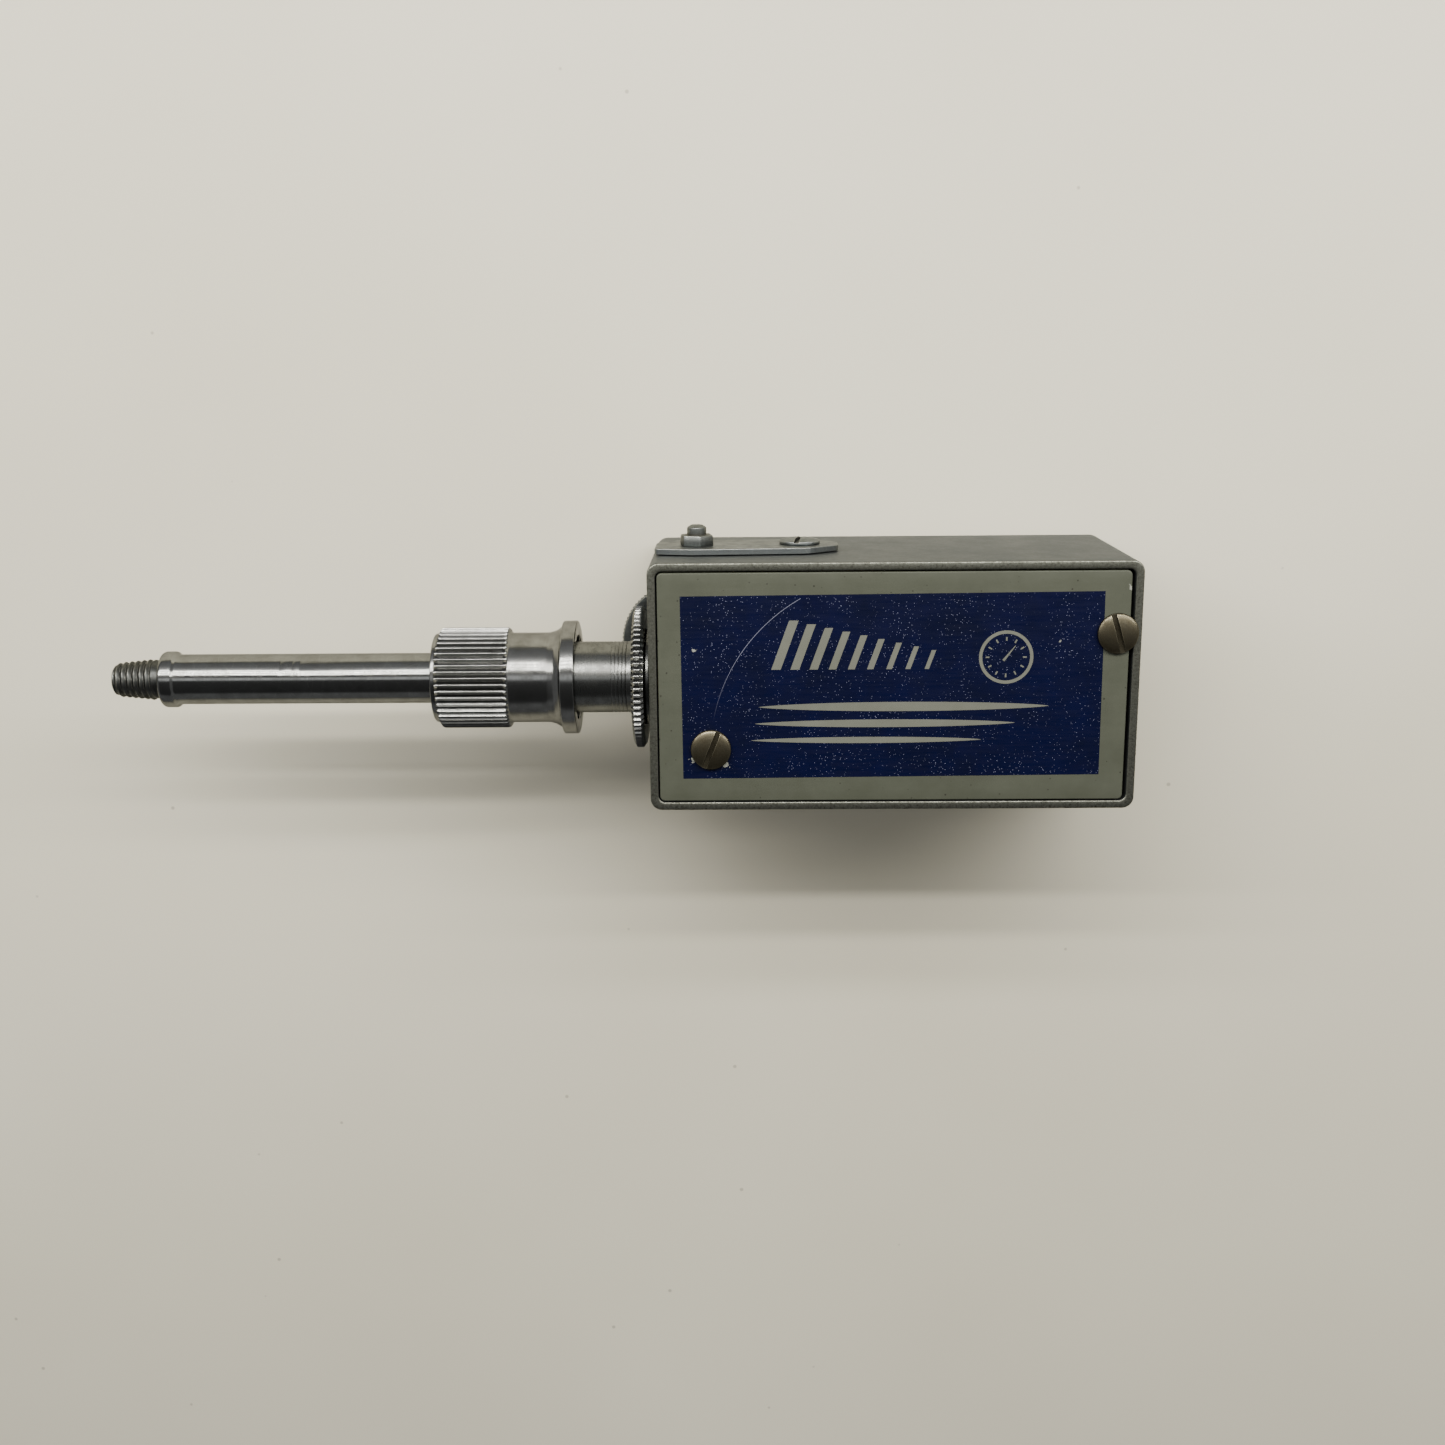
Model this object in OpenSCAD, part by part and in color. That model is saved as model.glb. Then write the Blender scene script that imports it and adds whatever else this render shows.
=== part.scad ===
// Clockwork self-timer for a camera: a drawn metal can with a painted cover plate,
// a start lever on its upper side, a winding thumbwheel in its end wall and a
// release tube that screws into the shutter's cable-release socket.
// Millimetres. Origin: centre of the can's back face. +Z towards the cover,
// +Y towards the start lever, the release tube points along -X.

/* [Case] */
// Length of the can along X
case_length = 38.5; // [36:0.5:48]
// Height of the can along Y
case_height = 19.85; // [19.2:0.05:25]
// Depth of the can from its back face to its front rim
case_depth = 18.7; // [18.4:0.1:24]
// Thickness of the drawn sheet
case_wall = 0.65; // [0.5:0.05:0.8]
// Outside radius of the four upright corners
case_corner_radius = 0.9; // [0.7:0.1:2]
// Outside radius of the edges round the back face
case_back_radius = 2; // [1:0.1:2.2]

/* [Cover] */
// Thickness of the cover plate
cover_thickness = 0.8; // [0.5:0.1:1]
// Gap between the cover plate and the rim
cover_gap = 0.12; // [0.05:0.01:0.3]
// Wider gap at the end away from the release tube
cover_end_gap = 0.3; // [0.05:0.01:0.5]
// Head diameter of the cover screws
cover_screw_head = 3.2; // [2.4:0.1:3.6]
// Thread diameter of the cover screws
cover_screw_thread = 1.4; // [1:0.1:1.6]
// Distance of the end screw from the can's end wall
end_screw_inset = 1.9; // [1.8:0.1:6]

/* [Release tube] */
// Depth of the release axis below the front rim
axis_below_rim = 4.9; // [4.6:0.1:5.6]
// Length from the can's end wall to the tip of the release thread
reach = 43.95; // [40:0.05:54]
// Diameter of the plunger rod
plunger_diameter = 1.2; // [1:0.05:1.5]
// Diameter of the release thread at its small end
thread_tip_diameter = 2.75; // [2.4:0.05:3]
// Diameter of the release thread at its large end
thread_root_diameter = 3.55; // [3.2:0.05:3.9]
// Pitch of the release thread
thread_pitch = 0.5; // [0.4:0.05:0.7]
// Length of the release thread
thread_length = 4.05; // [3:0.05:5]
// Diameter of the release tube
tube_diameter = 4.1; // [3.6:0.1:5]
// Diameter of the collar behind the thread
collar_diameter = 4.6; // [4.4:0.1:6]
// Length of the collar behind the thread
collar_length = 1.35; // [1:0.05:2]

/* [Outlet] */
// Outside diameter of the outlet boss
boss_diameter = 5.78; // [5:0.02:7]
// Bore of the outlet boss
boss_bore = 3.2; // [2.4:0.1:3.6]
// Wall of the sleeve where it runs on the boss
sleeve_wall = 0.77; // [0.6:0.01:1]
// Length of the sleeve
sleeve_length = 11.6; // [10:0.1:14]
// Length of the knurled part of the sleeve
knurl_length = 5.75; // [4:0.05:7]
// Height of the sleeve's knurling above its neck
knurl_height = 0.43; // [0.3:0.01:0.6]
// Number of teeth round the sleeve's knurling
knurl_teeth = 48; // [36:1:60]
// Diameter of the thin lock ring
ring_diameter = 11.5; // [10:0.1:13]
// Thickness of the thin lock ring
ring_thickness = 1; // [0.8:0.05:1.6]
// Number of teeth round the lock ring
ring_teeth = 72; // [60:1:90]

/* [Start lever] */
// Distance of the lever's pivot from the can's end wall
lever_inset = 12.1; // [11:0.1:14]
// Depth of the lever's pivot below the front rim
lever_below_rim = 7.3; // [6.8:0.1:7.6]
// Thickness of the lever's blade
lever_thickness = 0.5; // [0.4:0.05:0.8]
// Distance between the lever's pivot and its thumb stud
lever_arm = 8.35; // [7:0.05:9]
// Diameter of the lever's shaft
lever_shaft_diameter = 1.64; // [1.4:0.02:2]

/* [Winding] */
// Diameter of the winding thumbwheel
thumbwheel_diameter = 10.2; // [8:0.1:10.6]
// Thickness of the winding thumbwheel
thumbwheel_thickness = 0.8; // [0.5:0.1:0.9]
// Distance of the thumbwheel's axis inside the can's end wall
thumbwheel_inset = 1.9; // [1.8:0.1:2.4]
// Height of the thumbwheel's axis above the middle of the can
thumbwheel_offset = 0.9; // [0:0.1:1.2]

/* [Movement] */
// Thickness of the movement's plates
plate_thickness = 0.8; // [0.6:0.05:0.9]
// Travel of the plunger
stroke = 7.5; // [5:0.1:7.5]
// Diameter of the drive spring over its coils
spring_diameter = 3.7; // [3:0.1:3.9]
// Wire of the drive spring
spring_wire = 0.44; // [0.3:0.02:0.5]
// Turns of the drive spring
spring_turns = 10; // [7:1:12]

/* [Hidden] */
$fn = 64;

// Clearances
running_gap = 0.03;
fit_gap = 0.02;
free_gap = 0.3;
overshoot = 1;

// The can
end_x = -case_length / 2;
far_x = case_length / 2;
top_y = case_height / 2;
inner_end_x = end_x + case_wall;
inner_far_x = far_x - case_wall;
inner_top_y = top_y - case_wall;
cover_bottom = case_depth - cover_thickness;
cover_x0 = inner_end_x + cover_gap;
cover_x1 = inner_far_x - cover_end_gap;
cover_half_y = inner_top_y - cover_gap;
cover_corner_radius = 0.4;

// Cover screws: one near the far end, one low beside the release tube
screw_end_spot = [far_x - end_screw_inset, 4.25];
screw_low_spot = [end_x + 4.87, -4.9];
cover_screw_spots = [screw_low_spot, screw_end_spot];
cover_screw_turns = [68, 106];
cover_screw_height = 0.55;
screw_slot_width = 0.42;
screw_slot_depth = 0.32;
cover_screw_shank = 4;
post_radius = 1.1;

// Levels through the movement, from the back wall towards the cover
axis_z = case_depth - axis_below_rim;
thumbwheel_z = 2.5;
winding_z = 3.25;
gear_thickness = 0.5;
back_plate_z = 4.2;
back_plate_top = back_plate_z + plate_thickness;
great_wheel_z = back_plate_top + 0.35;
ratchet_z = great_wheel_z + gear_thickness + 0.04;
ratchet_thickness = 0.36;
second_wheel_z = ratchet_z + ratchet_thickness + 0.2;
escape_z = second_wheel_z + gear_thickness + 0.6;
escape_thickness = 0.4;
anchor_z = escape_z - 0.05;
anchor_thickness = 0.5;
anchor_top = anchor_z + anchor_thickness;
front_plate_z = axis_z - 4.9;
front_plate_top = front_plate_z + plate_thickness;
rack_z = front_plate_top + 0.05;
rack_top = axis_z - 1.8;
drive_pinion_z = front_plate_top + 0.3;
plate_gap = 0.15;
plate_corner_radius = 0.6;

// Gears: module, teeth and the pitch radii that follow
pressure_angle = 20;
tooth_backlash = 0.05;
drive_module = 0.35;
drive_teeth = 10;
drive_radius = drive_module * drive_teeth / 2;
train_module = 0.3;
great_teeth = 30;
second_pinion_teeth = 8;
great_radius = train_module * great_teeth / 2;
second_pinion_radius = train_module * second_pinion_teeth / 2;
fine_module = 0.25;
second_teeth = 36;
escape_pinion_teeth = 8;
second_radius = fine_module * second_teeth / 2;
escape_pinion_radius = fine_module * escape_pinion_teeth / 2;
winding_module = 0.22;
winding_pinion_teeth = 8;
winding_gear_teeth = 32;
idler_teeth = 34;
winding_pinion_radius = winding_module * winding_pinion_teeth / 2;
winding_gear_radius = winding_module * winding_gear_teeth / 2;
idler_radius = winding_module * idler_teeth / 2;
escape_teeth = 15;
escape_tip_radius = 2.9;
escape_root_radius = 2.2;

// Arbors: centres in the plan of the movement
winding_spot = [end_x + thumbwheel_inset, thumbwheel_offset];
drive_spot = [end_x + 12.25, -4.35];
train_angle_1 = 25;
second_spot = drive_spot + (great_radius + second_pinion_radius) * direction(train_angle_1);
train_angle_2 = 20;
escape_spot = second_spot + (second_radius + escape_pinion_radius) * direction(train_angle_2);
pallet_angle = 42;
anchor_spot = escape_spot + [0, escape_tip_radius / cos(pallet_angle)];
pallet_arm = escape_tip_radius * tan(pallet_angle);
idler_spot = meet(winding_spot, winding_pinion_radius + idler_radius,
                  drive_spot, idler_radius + winding_gear_radius);
drive_arbor_radius = 0.6;
second_arbor_radius = 0.45;
escape_arbor_radius = 0.4;
winding_arbor_radius = 0.5;
winding_bush_radius = 0.8;
winding_bush_top = back_plate_top + 1.2;
idler_stud_radius = 0.6;
hub_radius = 1;

// Pillars stand clear of the wheels; their screws miss the rounded back edges
pillar_y = top_y - 3.3;
pillar_spots = [
    [end_x + 3.25, -pillar_y], [end_x + 4.75, pillar_y],
    [far_x - 7.25, -pillar_y], [far_x - 7.25, pillar_y]
];
pillar_radius = 1.2;
foot_radius = 1;
pillar_screw_thread = 1;
pillar_screw_head = 2;
pillar_screw_height = 0.6;
case_screw_head = 2;

// Release axis, from the tip back to the can
tip_x = end_x - reach;
collar_x0 = tip_x + thread_length;
collar_x1 = collar_x0 + collar_length;
hub_thickness = 0.4;
hub_radius_outside = 3.9;
ring_x1 = end_x - hub_thickness - fit_gap;
ring_x0 = ring_x1 - ring_thickness;
sleeve_x1 = end_x - 5.95;
sleeve_x0 = sleeve_x1 - sleeve_length;
boss_radius = boss_diameter / 2;
plunger_radius = plunger_diameter / 2;
tube_radius = tube_diameter / 2;
neck_radius = boss_radius + sleeve_wall;
knurl_radius = neck_radius + knurl_height;
knurl_depth = 0.2;
flange_radius = neck_radius + 0.95;
flange_length = 1.2;
flare_length = 1.1;
recess_radius = boss_radius + 0.55;
recess_depth = 2.1;
cap_rim = 0.4;
cap_plug = 0.8;
cap_radius = neck_radius - 0.04;
chamber_radius = boss_radius + 0.5;
chamber_length = 2.4;
chamber_x1 = sleeve_x0 + cap_rim + chamber_length;
circlip_thickness = 0.5;
circlip_x1 = chamber_x1 - 0.1;
circlip_x0 = circlip_x1 - circlip_thickness;
circlip_groove = 0.4;
boss_x0 = circlip_x0 - 0.7;
boss_shank_radius = 2.3;
nut_thickness = 1.3;
nut_radius = 3.6;
boss_x1 = inner_end_x + nut_thickness + 0.4;
thread_shank_radius = 1.15;
thread_shank_length = 4;
tube_bore_radius = thread_shank_radius + fit_gap;
thread_depth = 0.2;

// Carriage, rack and drive spring
carriage_x0 = inner_end_x + nut_thickness + stroke + 0.8;
carriage_length = 10.5;
carriage_x1 = carriage_x0 + carriage_length;
carriage_half_y = 2.2;
carriage_top = axis_z + 2;
rack_length = 12;
rack_pitch_y = drive_spot[1] + drive_radius;
guide_radius = 0.8;
guide_seat_depth = 8.8;
bracket_x1 = far_x - 2.85;
bracket_thickness = 0.8;
bracket_x0 = bracket_x1 - bracket_thickness;
bracket_half_y = 2.8;
bracket_foot = 4.6;
bracket_screw_y = 1.7;
bracket_screw_x = bracket_x0 - 2.6;
spring_x0 = carriage_x1 + fit_gap;
spring_x1 = bracket_x0 - fit_gap;

// Start lever
lever_x = end_x + lever_inset;
lever_z = case_depth - lever_below_rim;
lever_y0 = top_y + 0.08;
lever_y1 = lever_y0 + lever_thickness;
lever_shaft_radius = lever_shaft_diameter / 2;
lever_screw_radius = 0.5;
lever_bush_radius = lever_shaft_radius + 0.56;
bush_flange_radius = 2.2;
bush_flange_thickness = 0.5;
stud_x = lever_x - lever_arm;
stud_z = lever_z + 0.6;
finger_y0 = inner_top_y - 3.1;
finger_thickness = 0.6;
finger_reach = anchor_spot[0] - lever_x;
finger_drop = lever_z - anchor_top - 0.15;
finger_window = [3, finger_thickness + 1];

// ---- helpers ----

// Unit vector at an angle in the plan
function direction(angle) = [cos(angle), sin(angle)];

// Point at distance r1 from a and r2 from b, on the left of the line from a to b
function meet(a, r1, b, r2) =
    let (span = norm(b - a),
         along = (r1 * r1 - r2 * r2 + span * span) / (2 * span),
         across = sqrt(r1 * r1 - along * along),
         unit = (b - a) / span)
    a + along * unit + across * [-unit[1], unit[0]];

// Angle of the line from one centre to another
function bearing(from, to) = atan2(to[1] - from[1], to[0] - from[0]);

// Angle of a tooth on the second gear that meshes with a tooth at the first gear's angle
function mesh_angle(first_angle, line, first_teeth, second_teeth) =
    line + 180 + (180 - (first_angle - line) * first_teeth) / second_teeth;

// Involute of the pressure angle, in degrees
function involute(angle) = tan(angle) * 180 / PI - angle;

// Half the angle that a tooth covers at a radius
function tooth_half_angle(radius, pitch_radius, base_radius, teeth) =
    let (slack = tooth_backlash / pitch_radius * 90 / PI,
         at = acos(base_radius / max(radius, base_radius)))
    90 / teeth - slack + involute(pressure_angle) - involute(at);

// Outline of a spur gear with its first tooth on +X
function gear_outline(module_size, teeth) =
    let (pitch = module_size * teeth / 2,
         base = pitch * cos(pressure_angle),
         root = pitch - 1.2 * module_size,
         tip = pitch + 0.9 * module_size,
         start = max(base, root),
         radii = [root, start, (start + tip) / 2, tip])
    [for (i = [0 : teeth - 1], side = [-1, 1], k = [0 : 3])
        let (r = radii[side < 0 ? k : 3 - k],
             angle = i * 360 / teeth + side * tooth_half_angle(r, pitch, base, teeth))
        r * direction(angle)];

module spur_gear(spot, z, thickness, module_size, teeth, turn) {
    translate([spot[0], spot[1], z])
        rotate([0, 0, turn])
            linear_extrude(thickness)
                polygon(gear_outline(module_size, teeth));
}

// Upright cylinder at a spot in the plan
module post(spot, radius, z0, z1) {
    translate([spot[0], spot[1], z0])
        cylinder(r = radius, h = z1 - z0);
}

// Cylinder along the release axis
module rod(radius, x0, x1) {
    translate([x0, 0, axis_z])
        rotate([0, 90, 0])
            cylinder(r = radius, h = x1 - x0);
}

// Turned shape on the release axis; each point is [radius, x]
module turned(outline) {
    translate([0, 0, axis_z])
        rotate([0, 90, 0])
            rotate_extrude()
                polygon(outline);
}

// Shaft along Y at the lever's pivot
module lever_rod(radius, y0, y1) {
    translate([lever_x, y1, lever_z])
        rotate([90, 0, 0])
            cylinder(r = radius, h = y1 - y0);
}

// Rectangle with round corners
module rounded_plate(x0, x1, y0, y1, radius) {
    translate([x0 + radius, y0]) square([x1 - x0 - 2 * radius, y1 - y0]);
    translate([x0, y0 + radius]) square([x1 - x0, y1 - y0 - 2 * radius]);
    for (x = [x0 + radius, x1 - radius], y = [y0 + radius, y1 - radius])
        translate([x, y]) circle(radius);
}

// Side outline of the can: square at the rim, rounded at the back
module can_side(half, z0, z1, radius) {
    translate([-half, z0 + radius]) square([2 * half, z1 - z0 - radius]);
    translate([-half + radius, z0]) square([2 * (half - radius), radius + overshoot]);
    for (side = [-1, 1])
        translate([side * (half - radius), z0 + radius]) circle(radius);
}

// Solid can with round upright corners and round back edges
module can(half_x, half_y, z0, z1, corner, back) {
    intersection() {
        translate([0, 0, z0])
            linear_extrude(z1 - z0)
                rounded_plate(-half_x, half_x, -half_y, half_y, corner);
        translate([0, half_y + overshoot, 0])
            rotate([90, 0, 0])
                linear_extrude(2 * (half_y + overshoot)) can_side(half_x, z0, z1, back);
        translate([-half_x - overshoot, 0, 0])
            rotate([90, 0, 90])
                linear_extrude(2 * (half_x + overshoot)) can_side(half_y, z0, z1, back);
    }
}

// Slotted screw head and shank; the head sits on z = 0
module slotted_screw(head, height, thread, shank, edge) {
    difference() {
        union() {
            rotate_extrude()
                polygon([[0, 0], [head / 2, 0], [head / 2, height - edge],
                         [head / 2 - edge, height], [0, height]]);
            translate([0, 0, -shank]) cylinder(d = thread, h = shank + height / 2);
        }
        translate([-head, -screw_slot_width / 2, height - screw_slot_depth])
            cube([2 * head, screw_slot_width, height]);
    }
}

// Outline of straight knurling: sharp ridges between flat valleys
function knurl_outline(radius, teeth, depth) =
    [for (i = [0 : teeth - 1], k = [0 : 3])
        let (r = radius - (k < 2 ? 0 : depth), step = [-0.18, 0.18, 0.38, 0.62][k])
        r * direction((i + step) * 360 / teeth)];

module knurling(radius, teeth, depth, x0, x1) {
    translate([x0, 0, axis_z])
        rotate([0, 90, 0])
            linear_extrude(x1 - x0)
                polygon(knurl_outline(radius, teeth, depth));
}

// ---- case and cover ----

module case_shell() {
    color("darkgray")
        difference() {
            can(far_x, top_y, 0, case_depth, case_corner_radius, case_back_radius);
            can(inner_far_x, inner_top_y, case_wall, case_depth + overshoot,
                case_corner_radius - case_wall + 0.3, case_back_radius - case_wall);
            rod(boss_shank_radius + fit_gap, end_x - overshoot, inner_end_x + overshoot);
            lever_rod(lever_bush_radius + fit_gap, inner_top_y - overshoot, top_y + overshoot);
            thumbwheel_slot();
            for (spot = pillar_spots) case_screw_hole(spot);
        }
}

module thumbwheel_slot() {
    half = thumbwheel_diameter / 2 + free_gap / 2;
    gap = 0.25;
    translate([end_x - overshoot, thumbwheel_offset - half, thumbwheel_z - thumbwheel_thickness / 2 - gap])
        cube([case_wall + overshoot + free_gap, 2 * half, thumbwheel_thickness + 2 * gap]);
}

module case_screw_hole(spot) {
    post(spot, pillar_screw_thread / 2 + fit_gap, -overshoot, case_wall + overshoot);
    translate([spot[0], spot[1], -fit_gap])
        cylinder(r1 = case_screw_head / 2 + 2 * fit_gap, r2 = pillar_screw_thread / 2 + 2 * fit_gap,
                 h = (case_screw_head - pillar_screw_thread) / 2);
}

module cover_plate() {
    color("lightslategray")
        difference() {
            translate([0, 0, cover_bottom])
                linear_extrude(cover_thickness)
                    rounded_plate(cover_x0, cover_x1, -cover_half_y, cover_half_y, cover_corner_radius);
            for (spot = cover_screw_spots)
                post(spot, cover_screw_thread / 2 + fit_gap, cover_bottom - overshoot, case_depth + overshoot);
        }
}

module cover_screws() {
    color("tan")
        for (i = [0 : 1])
            translate([cover_screw_spots[i][0], cover_screw_spots[i][1], case_depth + fit_gap])
                rotate([0, 0, cover_screw_turns[i]])
                    slotted_screw(cover_screw_head, cover_screw_height, cover_screw_thread,
                                  cover_screw_shank, 0.15);
}

module cover_posts() {
    color("goldenrod")
        for (spot = cover_screw_spots)
            difference() {
                post(spot, post_radius, front_plate_top, cover_bottom);
                post(spot, cover_screw_thread / 2 + fit_gap,
                     case_depth - cover_screw_shank - 0.5, cover_bottom + overshoot);
            }
}

// ---- movement frame ----

module plate_blank(z) {
    translate([0, 0, z])
        linear_extrude(plate_thickness)
            rounded_plate(inner_end_x + plate_gap, inner_far_x - plate_gap,
                          -inner_top_y + plate_gap, inner_top_y - plate_gap, plate_corner_radius);
}

module arbor_holes(z) {
    low = z - overshoot;
    high = z + plate_thickness + overshoot;
    post(drive_spot, drive_arbor_radius + running_gap, low, high);
    post(second_spot, second_arbor_radius + running_gap, low, high);
    post(escape_spot, escape_arbor_radius + running_gap, low, high);
    post(anchor_spot, escape_arbor_radius + running_gap, low, high);
    for (spot = pillar_spots) post(spot, pillar_screw_thread / 2 + fit_gap, low, high);
}

module back_plate() {
    color("khaki")
        difference() {
            plate_blank(back_plate_z);
            arbor_holes(back_plate_z);
            post(winding_spot, winding_bush_radius + fit_gap, back_plate_z - overshoot, back_plate_top + overshoot);
            post(idler_spot, idler_stud_radius + fit_gap, back_plate_z - overshoot, back_plate_top + overshoot);
        }
}

module front_plate() {
    notch_half = bush_flange_radius + free_gap;
    color("khaki")
        difference() {
            plate_blank(front_plate_z);
            arbor_holes(front_plate_z);
            translate([lever_x - notch_half, finger_y0 - 0.5, front_plate_z - overshoot])
                cube([2 * notch_half, case_height, plate_thickness + 2 * overshoot]);
            translate([anchor_spot[0] - finger_window[0] / 2, finger_y0 - 0.5, front_plate_z - overshoot])
                cube([finger_window[0], finger_window[1], plate_thickness + 2 * overshoot]);
        }
}

module pillars() {
    color("goldenrod")
        for (spot = pillar_spots)
            difference() {
                post(spot, pillar_radius, back_plate_top, front_plate_z);
                post(spot, pillar_screw_thread / 2 + fit_gap, back_plate_top - overshoot, front_plate_z + overshoot);
            }
}

module pillar_screws() {
    color("tan")
        for (spot = pillar_spots)
            translate([spot[0], spot[1], front_plate_top])
                slotted_screw(pillar_screw_head, pillar_screw_height, pillar_screw_thread, 2.4, 0.1);
}

module plate_feet() {
    color("goldenrod")
        for (spot = pillar_spots)
            difference() {
                post(spot, foot_radius, case_wall, back_plate_z);
                post(spot, pillar_screw_thread / 2 + fit_gap, case_wall - overshoot, back_plate_z + overshoot);
            }
}

module case_screws() {
    head = case_screw_head / 2;
    shank = pillar_screw_thread / 2;
    color("tan")
        for (spot = pillar_spots)
            translate([spot[0], spot[1], 0])
                difference() {
                    union() {
                        cylinder(r1 = head, r2 = shank, h = head - shank);
                        cylinder(r = shank, h = back_plate_top);
                    }
                    translate([-head, -0.15, -overshoot]) cube([2 * head, 0.3, overshoot + 0.3]);
                }
}

module winding_bush() {
    color("goldenrod")
        difference() {
            post(winding_spot, winding_bush_radius, back_plate_z, winding_bush_top);
            post(winding_spot, winding_arbor_radius + running_gap,
                 back_plate_z - overshoot, winding_bush_top + overshoot);
        }
}

module idler_stud() {
    stud_bottom = thumbwheel_z + thumbwheel_thickness / 2 + 0.1;
    color("silver") {
        post(idler_spot, idler_stud_radius, stud_bottom, back_plate_top);
        post(idler_spot, hub_radius, stud_bottom, winding_z - 0.05);
    }
}

// ---- outlet, sleeve and release tube ----

module outlet_boss() {
    groove = boss_radius - circlip_groove;
    bore = boss_bore / 2;
    color("lightgray")
        turned([[bore, boss_x0], [boss_radius - 0.2, boss_x0], [boss_radius, boss_x0 + 0.2],
                [boss_radius, circlip_x0 - fit_gap], [groove, circlip_x0 - fit_gap],
                [groove, circlip_x1 + fit_gap], [boss_radius, circlip_x1 + fit_gap],
                [boss_radius, end_x - hub_thickness], [hub_radius_outside, end_x - hub_thickness],
                [hub_radius_outside, end_x], [boss_shank_radius, end_x],
                [boss_shank_radius, boss_x1], [bore, boss_x1]]);
}

module boss_nut() {
    color("goldenrod")
        translate([inner_end_x, 0, axis_z])
            rotate([0, 90, 0])
                difference() {
                    rotate([0, 0, 30]) cylinder(r = nut_radius, h = nut_thickness, $fn = 6);
                    translate([0, 0, -overshoot])
                        cylinder(r = boss_shank_radius + fit_gap, h = nut_thickness + 2 * overshoot);
                }
}

module sleeve_circlip() {
    inner = boss_radius - circlip_groove + fit_gap;
    outer = boss_radius + 0.3;
    mouth = 1.6;
    color("dimgray")
        difference() {
            rod(outer, circlip_x0, circlip_x1);
            rod(inner, circlip_x0 - overshoot, circlip_x1 + overshoot);
            translate([circlip_x0 - overshoot, -mouth / 2, axis_z])
                cube([circlip_thickness + 2 * overshoot, mouth, 2 * outer]);
        }
}

module lock_ring() {
    color("silver")
        difference() {
            knurling(ring_diameter / 2, ring_teeth, knurl_depth, ring_x0, ring_x1);
            rod(boss_radius + running_gap, ring_x0 - overshoot, ring_x1 + overshoot);
        }
}

module knurled_sleeve() {
    neck_x0 = sleeve_x0 + cap_rim + knurl_length;
    flange_x0 = sleeve_x1 - flange_length;
    color("silver")
        difference() {
            union() {
                knurling(knurl_radius, knurl_teeth, knurl_depth, sleeve_x0 + cap_rim, neck_x0);
                turned([[0, sleeve_x0 + cap_rim], [neck_radius, sleeve_x0 + cap_rim],
                        [neck_radius, flange_x0 - flare_length],
                        [neck_radius + 0.15, flange_x0 - flare_length / 2],
                        [flange_radius - 0.35, flange_x0],
                        [flange_radius, flange_x0], [flange_radius, sleeve_x1 - 0.2],
                        [flange_radius - 0.2, sleeve_x1], [0, sleeve_x1]]);
            }
            rod(boss_radius + running_gap, sleeve_x0 - overshoot, sleeve_x1 + overshoot);
            rod(chamber_radius, sleeve_x0 - overshoot, chamber_x1);
            rod(recess_radius, sleeve_x1 - recess_depth, sleeve_x1 + overshoot);
        }
}

module sleeve_cap() {
    plug = chamber_radius - fit_gap;
    color("silver")
        turned([[tube_radius + fit_gap, sleeve_x0], [cap_radius - 0.15, sleeve_x0],
                [cap_radius, sleeve_x0 + 0.15], [cap_radius, sleeve_x0 + cap_rim],
                [plug, sleeve_x0 + cap_rim], [plug, sleeve_x0 + cap_rim + cap_plug],
                [tube_radius + fit_gap, sleeve_x0 + cap_rim + cap_plug]]);
}

module release_tube() {
    collar = collar_diameter / 2;
    edge = 0.25;
    end = sleeve_x0 + cap_rim + cap_plug;
    color("whitesmoke")
        turned([[tube_bore_radius, collar_x0], [collar - edge, collar_x0], [collar, collar_x0 + edge],
                [collar, collar_x1 - edge], [tube_radius, collar_x1],
                [tube_radius, end], [tube_bore_radius, end]]);
}

module release_thread() {
    turns = floor((thread_length - 0.2) / thread_pitch);
    bore = plunger_radius + 0.08;
    taper = (thread_root_diameter - thread_tip_diameter) / 2 / thread_length;
    crest = function (x) thread_tip_diameter / 2 + taper * (x - tip_x);
    ridges = [for (i = [0 : turns - 1])
                 let (x = tip_x + 0.2 + i * thread_pitch)
                 each [[crest(x) - thread_depth, x], [crest(x + thread_pitch / 2), x + thread_pitch / 2]]];
    neck = tip_x + 0.2 + turns * thread_pitch;
    color("dimgray")
        turned(concat([[bore, tip_x], [crest(tip_x) - thread_depth, tip_x]], ridges,
                      [[crest(neck) - thread_depth, neck], [crest(neck) - thread_depth, collar_x0],
                       [thread_shank_radius, collar_x0],
                       [thread_shank_radius, collar_x0 + thread_shank_length],
                       [bore, collar_x0 + thread_shank_length]]));
}

// ---- start lever ----

module start_lever() {
    half = 2.9;
    left = end_x + 0.4 - lever_x;
    stud = [stud_x - lever_x, stud_z - lever_z];
    color("silver")
        translate([lever_x, lever_y1, lever_z])
            rotate([90, 0, 0])
                linear_extrude(lever_thickness)
                    difference() {
                        polygon([[left, half - 0.1], [left + 3, half + 0.5], [0.6, half],
                                 [3.1, 1], [3.1, -1], [0.6, -half], [left + 1.6, -half + 0.2],
                                 [left, -half + 1.8]]);
                        circle(lever_screw_radius + fit_gap);
                        translate(stud) circle(0.6 + fit_gap);
                    }
}

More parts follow.
